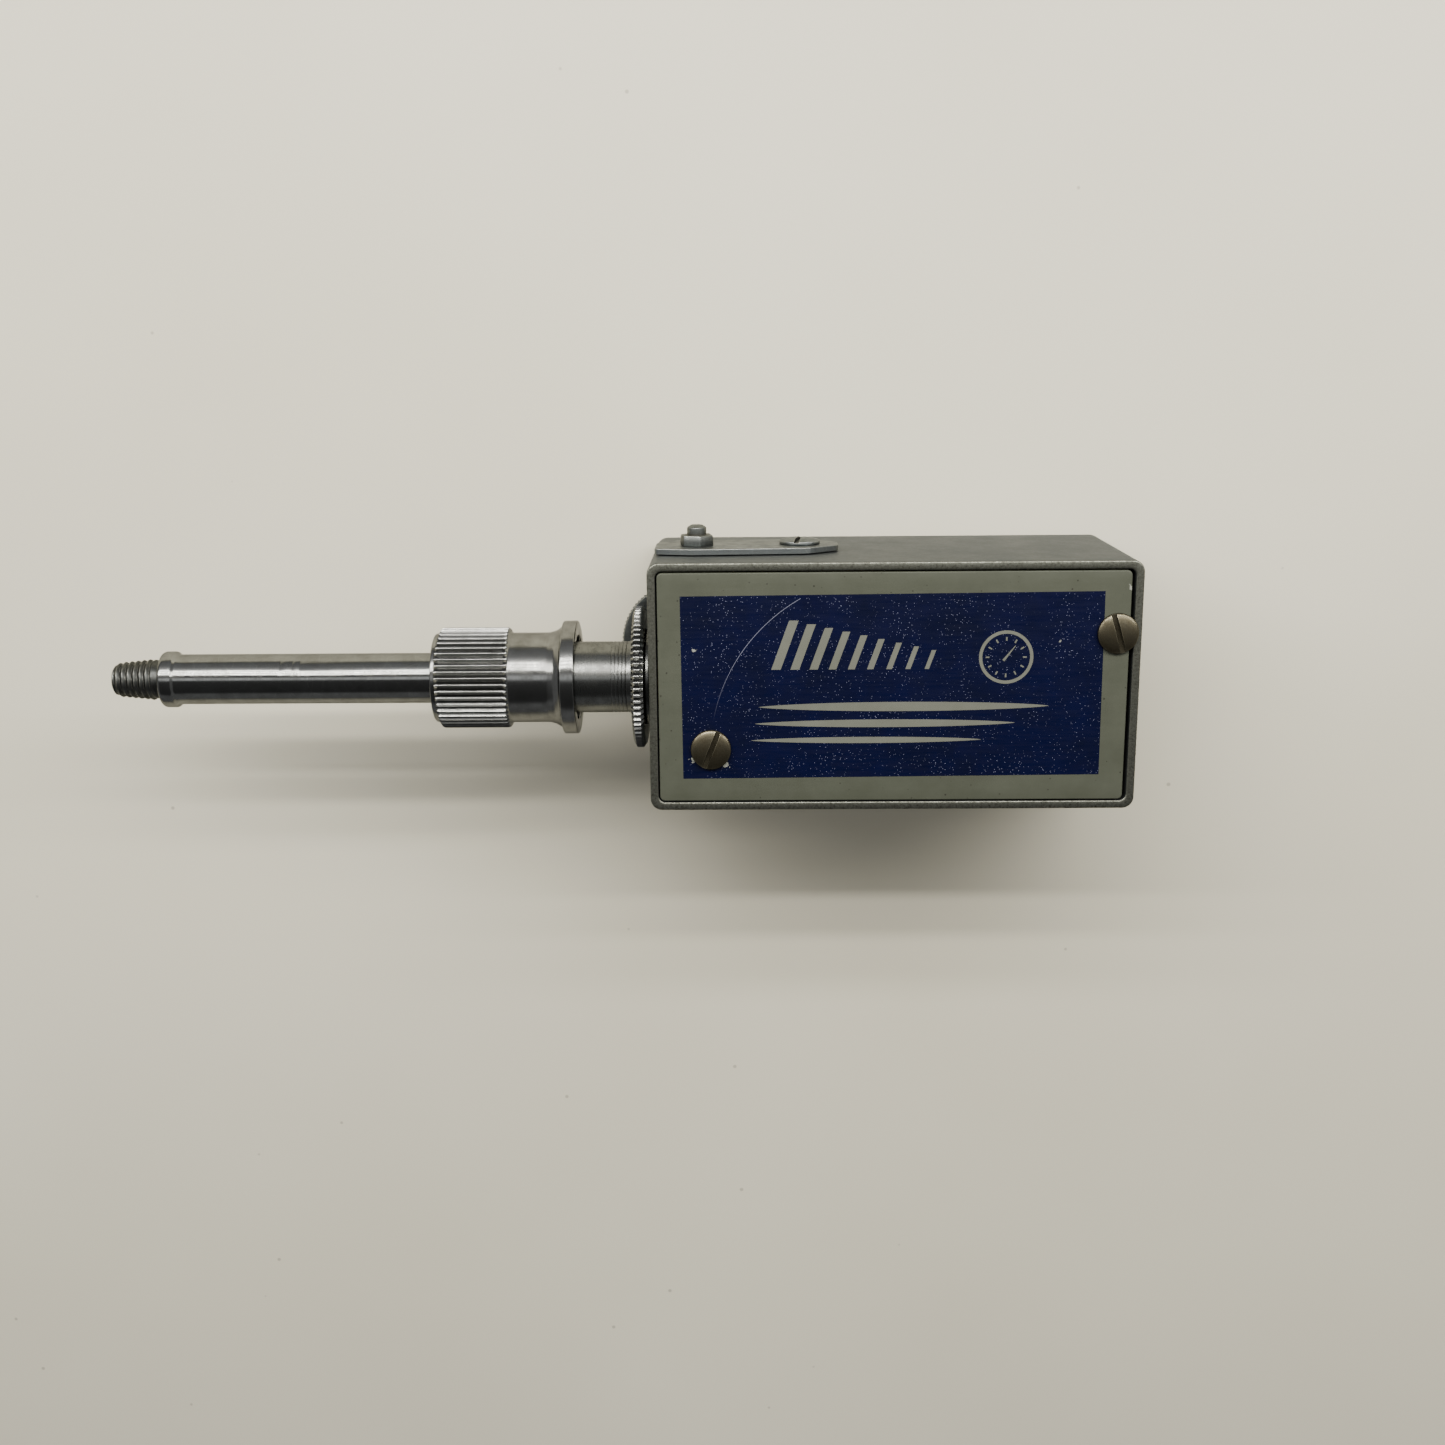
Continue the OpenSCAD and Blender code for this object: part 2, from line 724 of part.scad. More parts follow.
module lever_stud() {
    color("gray")
        translate([stud_x, lever_y0, stud_z])
            rotate([-90, 0, 0]) {
                cylinder(r = 0.6, h = lever_thickness);
                translate([0, 0, lever_thickness]) {
                    rotate([0, 0, 12]) cylinder(r = 1.45, h = 0.85, $fn = 6);
                    cylinder(r = 0.78, h = 1.45);
                    translate([0, 0, 1.45]) cylinder(r1 = 0.78, r2 = 0.45, h = 0.2);
                }
            }
}

module lever_screw() {
    color("tan")
        translate([lever_x, lever_y1 + fit_gap, lever_z])
            rotate([-90, 0, 0])
                rotate([0, 0, -40])
                    slotted_screw(3.3, 0.5, 2 * lever_screw_radius, 3, 0.15);
}

module lever_shaft() {
    color("silver")
        difference() {
            lever_rod(lever_shaft_radius, finger_y0 - 0.3, lever_y0);
            lever_rod(lever_screw_radius + fit_gap, lever_y0 - 3.5, lever_y0 + overshoot);
        }
}

module lever_bush() {
    color("goldenrod")
        difference() {
            union() {
                lever_rod(lever_bush_radius, inner_top_y, top_y + 0.04);
                lever_rod(bush_flange_radius, inner_top_y - bush_flange_thickness, inner_top_y);
            }
            lever_rod(lever_shaft_radius + running_gap, inner_top_y - overshoot, top_y + overshoot);
        }
}

module lever_washer() {
    top = inner_top_y - bush_flange_thickness - fit_gap;
    color("dimgray")
        difference() {
            lever_rod(1.8, finger_y0 + finger_thickness + fit_gap, top);
            lever_rod(lever_shaft_radius + fit_gap, finger_y0, top + overshoot);
        }
}

module stop_finger() {
    width = 1.4;
    color("silver")
        translate([lever_x, finger_y0 + finger_thickness, lever_z])
            rotate([90, 0, 0])
                linear_extrude(finger_thickness)
                    difference() {
                        union() {
                            circle(1.7);
                            translate([0, -width / 2]) square([finger_reach + width / 2, width]);
                            translate([finger_reach - width / 2, -finger_drop]) square([width, finger_drop]);
                        }
                        circle(lever_shaft_radius + fit_gap);
                    }
}

// ---- plunger, carriage, rack and spring ----

module plunger_rod() {
    end = carriage_x0 + 1.5;
    point = tip_x + 0.3;
    color("silver")
        turned([[0, point], [plunger_radius - 0.15, point], [plunger_radius, point + 0.15],
                [plunger_radius, end], [0, end]]);
}

module carriage() {
    color("khaki")
        difference() {
            translate([carriage_x0, -carriage_half_y, rack_top])
                cube([carriage_length, 2 * carriage_half_y, carriage_top - rack_top]);
            rod(plunger_radius + fit_gap, carriage_x0 - overshoot, carriage_x0 + 1.5);
            rod(guide_radius + running_gap, carriage_x1 - guide_seat_depth, carriage_x1 + overshoot);
        }
}

module rack() {
    pitch = PI * drive_module;
    tip = rack_pitch_y - 0.9 * drive_module;
    root = rack_pitch_y + 1.2 * drive_module;
    slope = tan(pressure_angle);
    half = pitch / 4 - tooth_backlash / 2;
    half_tip = half - 0.9 * drive_module * slope;
    half_root = half + 1.2 * drive_module * slope;
    first = ceil((carriage_x0 - drive_spot[0]) / pitch) + 1;
    last = floor((carriage_x0 + rack_length - drive_spot[0]) / pitch) - 1;
    teeth = [for (i = [first : last], k = [0 : 3])
                let (x = drive_spot[0] + (i + 0.5) * pitch)
                [x + [-half_root, -half_tip, half_tip, half_root][k], k == 1 || k == 2 ? tip : root]];
    back = root + 1.6;
    color("lightgray")
        translate([0, 0, rack_z])
            linear_extrude(rack_top - rack_z)
                polygon(concat([[carriage_x0, back], [carriage_x0, root]], teeth,
                               [[carriage_x0 + rack_length, root], [carriage_x0 + rack_length, back]]));
}

module guide_rod() {
    color("silver")
        rod(guide_radius, carriage_x1 - guide_seat_depth + 0.2, bracket_x0);
}

module spring_bracket() {
    foot_x0 = bracket_x1 - bracket_foot - bracket_thickness;
    color("khaki")
        difference() {
            union() {
                translate([bracket_x0, -bracket_half_y, front_plate_top])
                    cube([bracket_thickness, 2 * bracket_half_y, axis_z + 2.8 - front_plate_top]);
                translate([foot_x0, -bracket_half_y, front_plate_top])
                    cube([bracket_x1 - foot_x0, 2 * bracket_half_y, bracket_thickness]);
            }
            for (side = [-1, 1])
                post([bracket_screw_x, side * bracket_screw_y], pillar_screw_thread / 2 + fit_gap,
                     front_plate_top - overshoot, front_plate_top + bracket_thickness + overshoot);
        }
}

module bracket_screws() {
    color("tan")
        for (side = [-1, 1])
            translate([bracket_screw_x, side * bracket_screw_y, front_plate_top + bracket_thickness])
                slotted_screw(pillar_screw_head, 0.5, pillar_screw_thread, bracket_thickness, 0.1);
}

// Wire swept along the coil: rings of points joined by quads, with flat ends
module drive_spring() {
    steps = 14;
    sides = 6;
    count = spring_turns * steps;
    wire = spring_wire / 2;
    coil = spring_diameter / 2 - wire;
    lead = (spring_x1 - spring_x0 - spring_wire) / spring_turns;
    points = [for (i = [0 : count], k = [0 : sides - 1])
                 let (turn = i * 360 / steps,
                      bend = k * 360 / sides,
                      r = coil + wire * cos(bend))
                 [spring_x0 + wire + lead * i / steps + wire * sin(bend),
                  r * cos(turn), axis_z + r * sin(turn)]];
    tube = [for (i = [0 : count - 1], k = [0 : sides - 1])
               let (next = (k + 1) % sides)
               [i * sides + k, (i + 1) * sides + k, (i + 1) * sides + next, i * sides + next]];
    ends = [[for (k = [0 : sides - 1]) k],
            [for (k = [sides - 1 : -1 : 0]) count * sides + k]];
    color("gainsboro")
        polyhedron(points, concat(tube, ends), convexity = 10);
}

// ---- winding ----

winding_line = bearing(drive_spot, idler_spot);
idler_line = bearing(idler_spot, winding_spot);
idler_turn = mesh_angle(0, winding_line, winding_gear_teeth, idler_teeth);
winding_turn = mesh_angle(idler_turn, idler_line, idler_teeth, winding_pinion_teeth);

module thumbwheel() {
    color("silver")
        difference() {
            translate([winding_spot[0], winding_spot[1], thumbwheel_z - thumbwheel_thickness / 2])
                linear_extrude(thumbwheel_thickness)
                    polygon(knurl_outline(thumbwheel_diameter / 2, 90, 0.1));
            post(winding_spot, winding_arbor_radius + fit_gap, 0, back_plate_z);
        }
}

module winding_arbor() {
    color("silver") {
        post(winding_spot, winding_arbor_radius, case_wall + 0.2, back_plate_top + 1.4);
        spur_gear(winding_spot, winding_z - 0.15, gear_thickness + 0.3,
                  winding_module, winding_pinion_teeth, winding_turn);
    }
}

module winding_idler() {
    color("gold")
        difference() {
            spur_gear(idler_spot, winding_z, gear_thickness, winding_module, idler_teeth, idler_turn);
            post(idler_spot, idler_stud_radius + running_gap, 0, back_plate_z);
        }
}

module winding_gear() {
    color("gold")
        difference() {
            spur_gear(drive_spot, winding_z, gear_thickness, winding_module, winding_gear_teeth, 0);
            post(drive_spot, drive_arbor_radius + fit_gap, 0, back_plate_z);
        }
}

// ---- drive arbor and great wheel ----

module drive_arbor() {
    color("silver") {
        post(drive_spot, drive_arbor_radius, winding_z - 0.3, rack_top + 0.2);
        spur_gear(drive_spot, drive_pinion_z, rack_top - drive_pinion_z, drive_module, drive_teeth, 90);
    }
}

// Wheel with a hub hole and a ring of round crossings
module crossed_wheel(spot, z, module_size, teeth, turn, hole, ring, opening, count) {
    difference() {
        spur_gear(spot, z, gear_thickness, module_size, teeth, turn);
        post(spot, hole, z - overshoot, z + gear_thickness + overshoot);
        for (i = [0 : count - 1])
            post(spot + ring * direction((i + 0.5) * 360 / count), opening,
                 z - overshoot, z + gear_thickness + overshoot);
    }
}

module great_wheel() {
    color("gold")
        crossed_wheel(drive_spot, great_wheel_z, train_module, great_teeth, train_angle_1,
                      drive_arbor_radius + fit_gap, 2.9, 0.75, 5);
}

module ratchet_wheel() {
    teeth = 12;
    tip = 1.7;
    root = 1.35;
    color("lightgray")
        difference() {
            translate([drive_spot[0], drive_spot[1], ratchet_z])
                linear_extrude(ratchet_thickness)
                    polygon([for (i = [0 : teeth - 1], k = [0 : 1])
                                (k == 0 ? tip : root) * direction((i + 0.1 * k) * 360 / teeth)]);
            post(drive_spot, drive_arbor_radius + fit_gap, ratchet_z - overshoot, second_wheel_z);
        }
}

module click() {
    color("lightgray")
        translate([drive_spot[0], drive_spot[1], ratchet_z])
            linear_extrude(ratchet_thickness)
                polygon([[-2.75, 2.2], [-1.5, 3.2], [-0.9, 3.0], [0.15, 1.85], [-0.1, 1.75], [-1.7, 2.1], [-2.5, 1.7]]);
}

module click_spring() {
    color("gray")
        translate([drive_spot[0], drive_spot[1], ratchet_z])
            linear_extrude(0.2)
                polygon([[-0.7, 3.3], [0.6, 3.45], [1.9, 3.1], [2.9, 2.3], [3.05, 2.45],
                         [2, 3.3], [0.6, 3.65], [-0.8, 3.5]]);
}

// ---- second and escape arbors ----

second_turn = mesh_angle(train_angle_1, train_angle_1, great_teeth, second_pinion_teeth);
escape_pinion_turn = mesh_angle(train_angle_2, train_angle_2, second_teeth, escape_pinion_teeth);

module second_arbor() {
    color("silver") {
        post(second_spot, second_arbor_radius, back_plate_z, front_plate_top);
        spur_gear(second_spot, great_wheel_z - 0.15, gear_thickness + 0.3,
                  train_module, second_pinion_teeth, second_turn);
    }
}

module second_wheel() {
    color("gold")
        crossed_wheel(second_spot, second_wheel_z, fine_module, second_teeth, train_angle_2,
                      second_arbor_radius + fit_gap, 2.7, 0.95, 5);
}

module escape_arbor() {
    color("silver") {
        post(escape_spot, escape_arbor_radius, back_plate_z, front_plate_top);
        spur_gear(escape_spot, second_wheel_z - 0.15, gear_thickness + 0.3,
                  fine_module, escape_pinion_teeth, escape_pinion_turn);
    }
}

module escape_wheel() {
    pitch = 360 / escape_teeth;
    turn = 90 - pallet_angle + pitch / 4;
    color("gold")
        difference() {
            translate([escape_spot[0], escape_spot[1], escape_z])
                rotate([0, 0, turn])
                    linear_extrude(escape_thickness)
                        polygon([for (i = [0 : escape_teeth - 1], k = [0 : 2])
                                    (k == 1 ? escape_tip_radius : escape_root_radius)
                                    * direction((i + [-0.3, 0, 0.14][k]) * pitch)]);
            post(escape_spot, escape_arbor_radius + fit_gap, escape_z - overshoot, escape_z + overshoot);
        }
}

module anchor() {
    width = 0.5;
    pallet = 0.22;
    pallet_height = 0.3;
    tip_gap = 0.06;
    tail = finger_y0 + finger_thickness - anchor_spot[1] + 0.4;
    color("lightgray")
        translate([anchor_spot[0], anchor_spot[1], anchor_z])
            linear_extrude(anchor_thickness)
                difference() {
                    union() {
                        circle(0.85);
                        translate([-width / 2, 0]) square([width, tail]);
                        for (side = [-1, 1])
                            mirror([side < 0 ? 1 : 0, 0])
                                rotate(-pallet_angle) {
                                    translate([0, pallet_height]) square([pallet_arm + pallet / 2, width]);
                                    translate([pallet_arm - pallet / 2, tip_gap])
                                        square([pallet, pallet_height]);
                                }
                    }
                    circle(escape_arbor_radius + fit_gap);
                }
}

module anchor_arbor() {
    color("silver")
        post(anchor_spot, escape_arbor_radius, back_plate_z, front_plate_top);
}

module anchor_weight() {
    reach_out = 1.9;
    bob = 0.7;
    color("gold")
        translate([anchor_spot[0], anchor_spot[1], great_wheel_z])
            linear_extrude(1)
                difference() {
                    union() {
                        circle(0.9);
                        translate([-reach_out, -0.35]) square([2 * reach_out, 0.7]);
                        for (side = [-1, 1]) translate([side * reach_out, 0]) circle(bob);
                    }
                    circle(escape_arbor_radius + fit_gap);
                }
}

case_shell();
cover_plate();
cover_screws();
cover_posts();
back_plate();
front_plate();
pillars();
pillar_screws();
plate_feet();
case_screws();
outlet_boss();
boss_nut();
sleeve_circlip();
spring_bracket();
bracket_screws();
guide_rod();
lever_bush();
winding_bush();
idler_stud();
release_thread();
release_tube();
sleeve_cap();
knurled_sleeve();
lock_ring();
start_lever();
lever_stud();
lever_screw();
lever_shaft();
lever_washer();
stop_finger();
plunger_rod();
carriage();
rack();
drive_spring();
thumbwheel();
winding_arbor();
winding_idler();
drive_arbor();
winding_gear();
great_wheel();
ratchet_wheel();
click();
click_spring();
second_arbor();
second_wheel();
escape_arbor();
escape_wheel();
anchor();
anchor_arbor();
anchor_weight();
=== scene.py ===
"""Looks of a clockwork self-timer: a drawn metal can with an enamelled cover plate,
a start lever, a winding thumbwheel and a release tube with a knurled sleeve."""

import math

import bmesh
import bpy
from mathutils import Matrix, Vector


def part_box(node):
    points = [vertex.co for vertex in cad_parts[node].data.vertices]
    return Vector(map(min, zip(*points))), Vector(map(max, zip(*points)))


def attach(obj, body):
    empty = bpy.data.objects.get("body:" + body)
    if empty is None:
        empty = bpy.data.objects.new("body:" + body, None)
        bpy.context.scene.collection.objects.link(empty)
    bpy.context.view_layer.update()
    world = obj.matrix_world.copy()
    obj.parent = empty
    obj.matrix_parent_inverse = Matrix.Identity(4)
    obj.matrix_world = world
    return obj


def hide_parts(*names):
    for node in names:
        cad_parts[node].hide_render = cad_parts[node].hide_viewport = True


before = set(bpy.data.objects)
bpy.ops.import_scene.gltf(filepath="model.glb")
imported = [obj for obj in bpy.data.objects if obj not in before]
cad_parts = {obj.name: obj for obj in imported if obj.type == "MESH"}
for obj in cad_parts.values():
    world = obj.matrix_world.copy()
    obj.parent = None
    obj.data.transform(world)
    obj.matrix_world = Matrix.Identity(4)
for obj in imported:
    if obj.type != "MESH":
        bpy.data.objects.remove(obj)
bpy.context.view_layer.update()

# ---- sizes, in millimetres, in the frame's own axes ----

MM = 0.001
MERGE = 0.002
SMOOTH_BELOW = math.radians(38)
FACETS = 96


def box_mm(node):
    """Lowest and highest corner of a CAD node, in millimetres"""
    low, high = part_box(node)
    return low / MM, high / MM


case_low, case_high = box_mm("case_shell")
cover_low, cover_high = box_mm("cover_plate")
screws_low, screws_high = box_mm("cover_screws")
backs_low, backs_high = box_mm("case_screws")
thread_low, thread_high = box_mm("release_thread")
tube_low, tube_high = box_mm("release_tube")
cap_low, cap_high = box_mm("sleeve_cap")
sleeve_low, sleeve_high = box_mm("knurled_sleeve")
circlip_low, circlip_high = box_mm("sleeve_circlip")
ring_low, ring_high = box_mm("lock_ring")
boss_low, boss_high = box_mm("outlet_boss")
lever_low, lever_high = box_mm("start_lever")
stud_low, stud_high = box_mm("lever_stud")
pivot_low, pivot_high = box_mm("lever_screw")
wheel_low, wheel_high = box_mm("thumbwheel")
plunger_low, plunger_high = box_mm("plunger_rod")

RELEASE_Z = (tube_low.z + tube_high.z) / 2
LEVER_X = (pivot_low.x + pivot_high.x) / 2
LEVER_Z = (pivot_low.z + pivot_high.z) / 2
FIT = 0.02

# The can
CAN_WALL = 0.65
CAN_CORNER = 0.9
CAN_CORNER_INSIDE = 0.55
CAN_BACK_ROUND = 2.0
RIM_EASE = 0.13
CORNER_FACETS = 8
BOSS_SHANK = 2.3
WHEEL_SLOT_GAP = 0.25
BACK_SCREW_HEAD = 1.0
BACK_SCREW_SHANK = 0.5
BACK_SCREW_SHIFT = 1.5

# The cover and what is painted on it
COVER_CORNER = 0.4
PAINT = 0.012
FIELD_LENGTH = 32.95
FIELD_HEIGHT = 14.65
FIELD_SPOT = (-0.17, 0.12)
FIELD_TURN = math.radians(0.37)

# Screws
SLOT_WIDTH = 0.42
SLOT_DEPTH = 0.32
COVER_SCREW_HEAD = 1.6
COVER_SCREW_SHANK = 0.7
COVER_SCREW_TURNS = (68, 106)

# The lever's bush and screw
LEVER_BUSH = 1.38
PIVOT_SHANK = 0.5
PIVOT_SLOT_TURN = math.radians(79)

# Along the release axis
THREAD_PITCH = 0.5
THREAD_DEPTH = 0.2
THREAD_TIP = 1.375
THREAD_ROOT = 1.775
THREAD_BORE = 0.68
THREAD_SHANK = 1.15
TUBE = 2.05
TUBE_BORE = 1.17
COLLAR = 2.3
COLLAR_LENGTH = 1.35
NECK = 3.66
KNURL = 4.09
KNURL_LENGTH = 5.75
KNURL_DEPTH = 0.27
KNURL_RIBS = 48
FLANGE = 4.61
FLANGE_LENGTH = 1.2
FLARE_LENGTH = 1.1
RECESS = 3.44
RECESS_DEPTH = 2.1
CHAMBER = 3.39
CHAMBER_LENGTH = 2.4
CAP_PLUG = 0.8
BOSS = 2.89
BOSS_BORE = 1.6
BOSS_HUB = 3.9
CIRCLIP_GROOVE = 2.49
RING_RIBS = 72
WHEEL_RIBS = 90
RIB_FACETS = 8


# ---- mesh helpers: every shape is built in millimetres and scaled at the end ----


def swept(rings, count, spot):
    """Skins a run of rings; spot(i, ring) is the place of point i on a ring.
    Open ends are capped, and a run that ends on its first ring closes on itself."""
    bm = bmesh.new()
    order = bm.verts.layers.int.new("order")
    bmesh.ops.create_circle(bm, segments=count, radius=1)
    for i, vertex in enumerate(bm.verts):
        vertex[order] = i
        vertex.co = spot(i, rings[0])
    loop = bm.edges[:]
    for ring in rings[1:]:
        grown = bmesh.ops.extrude_edge_only(bm, edges=loop)["geom"]
        for vertex in (g for g in grown if isinstance(g, bmesh.types.BMVert)):
            vertex.co = spot(vertex[order], ring)
        loop = [g for g in grown if isinstance(g, bmesh.types.BMEdge) and g.is_boundary]
    bmesh.ops.remove_doubles(bm, verts=bm.verts, dist=MERGE)
    bmesh.ops.holes_fill(bm, edges=[e for e in bm.edges if e.is_boundary], sides=0)
    bmesh.ops.recalc_face_normals(bm, faces=bm.faces)
    return bm


def turned(profile, ribs=0, groove=None):
    """Solid turned about Z. Each profile point is (radius, height, rib depth), and groove(angle, height)
    gives the share of the rib depth that is cut away there."""
    count = ribs * RIB_FACETS or FACETS

    def spot(i, ring):
        angle = 2 * math.pi * i / count
        radius = ring[0] - (ring[2] * groove(angle, ring[1]) if groove and ring[2] else 0)
        return radius * math.cos(angle), radius * math.sin(angle), ring[1]

    return swept(profile, count, spot)


def pressed(profile, half_x, half_y):
    """Round-cornered box shape about Z; each profile point is (inset, height, corner radius)"""
    side = CORNER_FACETS + 1

    def spot(i, ring):
        quarter, step = divmod(i, side)
        angle = (quarter + step / CORNER_FACETS) * math.pi / 2
        middle = (quarter + 0.5) * math.pi / 2
        x = math.copysign(half_x - ring[0] - ring[2], math.cos(middle)) + ring[2] * math.cos(angle)
        y = math.copysign(half_y - ring[0] - ring[2], math.sin(middle)) + ring[2] * math.sin(angle)
        return x, y, ring[1]

    return swept(profile, 4 * side, spot)


def ribbed(count, sharpness=0.8):
    """Groove of straight knurling: narrow ridges with round valleys between them"""
    return lambda angle, height: abs(math.sin(count * angle / 2)) ** sharpness


def eased(profile, ease, steps=3):
    """Rounds the corners of a profile, each with a short curve that starts `ease` away from it"""
    points = [Vector(p) for p in profile]
    smooth = [points[0]]
    for before, corner, after in zip(points, points[1:], points[2:]):
        start = corner + (before - corner).normalized() * min(ease, 0.45 * (before - corner).length)
        end = corner + (after - corner).normalized() * min(ease, 0.45 * (after - corner).length)
        for i in range(steps + 1):
            t = i / steps
            smooth.append(start * (1 - t) ** 2 + corner * 2 * t * (1 - t) + end * t * t)
    return smooth + [points[-1]]


def moved(bm, matrix):
    """Places a shape that was built about Z"""
    bmesh.ops.transform(bm, matrix=matrix, verts=bm.verts)
    return bm


def block(low, high):
    """Plain cutter block between two corners"""
    bm = bmesh.new()
    bmesh.ops.create_cube(bm, size=1)
    low, high = Vector(low), Vector(high)
    return moved(bm, Matrix.Translation((low + high) / 2) @ Matrix.Diagonal((*(high - low), 1)))


def joined(*shapes):
    """Several closed shapes in one mesh"""
    whole = bmesh.new()
    for bm in shapes:
        mesh = bpy.data.meshes.new("part")
        bm.to_mesh(mesh)
        bm.free()
        whole.from_mesh(mesh)
        bpy.data.meshes.remove(mesh)
    return whole


def cut(bm, *cutters):
    """Takes the cutters out of a solid"""
    made = []
    for shape in (bm, *cutters):
        mesh = bpy.data.meshes.new("cutting")
        shape.to_mesh(mesh)
        shape.free()
        made.append(bpy.data.objects.new("cutting", mesh))
        bpy.context.scene.collection.objects.link(made[-1])
    for cutter in made[1:]:
        step = made[0].modifiers.new("cut", "BOOLEAN")
        step.operation = "DIFFERENCE"
        step.solver = "EXACT"
        step.object = cutter
    result = made[0].evaluated_get(bpy.context.evaluated_depsgraph_get())
    clean = bmesh.new()
    clean.from_mesh(result.data)
    for thing in made:
        bpy.data.meshes.remove(thing.data)
    bmesh.ops.remove_doubles(clean, verts=clean.verts, dist=MERGE / 4)
    return clean


def piece(name, bm, body, materials, replaced=(), edge=0):
    """Makes the finished object from a shape in millimetres and fixes it to its body"""
    bmesh.ops.scale(bm, vec=(MM, MM, MM), verts=bm.verts)
    for face in bm.faces:
        face.smooth = True
    for line in bm.edges:
        line.smooth = line.is_manifold and line.calc_face_angle(math.pi) < SMOOTH_BELOW
    mesh = bpy.data.meshes.new(name)
    bm.to_mesh(mesh)
    bm.free()
    for material in materials:
        mesh.materials.append(material)
    made = bpy.data.objects.new(name, mesh)
    bpy.context.scene.collection.objects.link(made)
    if edge:
        bevel = made.modifiers.new("worn_edges", "BEVEL")
        bevel.width = edge * MM
        bevel.segments = 2
        bevel.limit_method = "ANGLE"
        bevel.angle_limit = SMOOTH_BELOW
        bevel.harden_normals = True
    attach(made, body)
    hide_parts(*replaced)
    return made


# The release axis runs along X, and the lever's pivot along Y
ON_RELEASE_AXIS = Matrix.Translation((0, 0, RELEASE_Z)) @ Matrix.Rotation(math.pi / 2, 4, "Y")


def on_lever_axis(x, y, z, turn=0):
    """Turns a shape built about Z so that it stands on the can's upper side"""
    upright = Matrix.Rotation(-math.pi / 2, 4, "X")
    return Matrix.Translation((x, y, z)) @ upright @ Matrix.Rotation(turn, 4, "Z")


# ---- materials ----


def linear(code):
    """Linear colour of an sRGB hex code"""
    parts = [int(code[i : i + 2], 16) / 255 for i in (1, 3, 5)]
    return (*[p / 12.92 if p <= 0.04045 else ((p + 0.055) / 1.055) ** 2.4 for p in parts], 1)


def node(tree, kind, inputs=None, **settings):
    """Adds a node; an input is given a value or the socket that feeds it"""
    added = tree.nodes.new(kind)
    for name, value in settings.items():
        setattr(added, name, value)
    for name, value in (inputs or {}).items():
        if isinstance(value, bpy.types.NodeSocket):
            tree.links.new(value, added.inputs[name])
        else:
            added.inputs[name].default_value = value
    return added


def blank(name):
    """New material with only its shader and output"""
    material = bpy.data.materials.new(name)
    material.use_nodes = True
    tree = material.node_tree
    tree.nodes.clear()
    shader = node(tree, "ShaderNodeBsdfPrincipled")
    node(tree, "ShaderNodeOutputMaterial", {"Surface": shader.outputs["BSDF"]})
    return material, tree, shader


# Share of the light that old, hazy metal still reflects at a glancing angle
GLANCE = 0.55


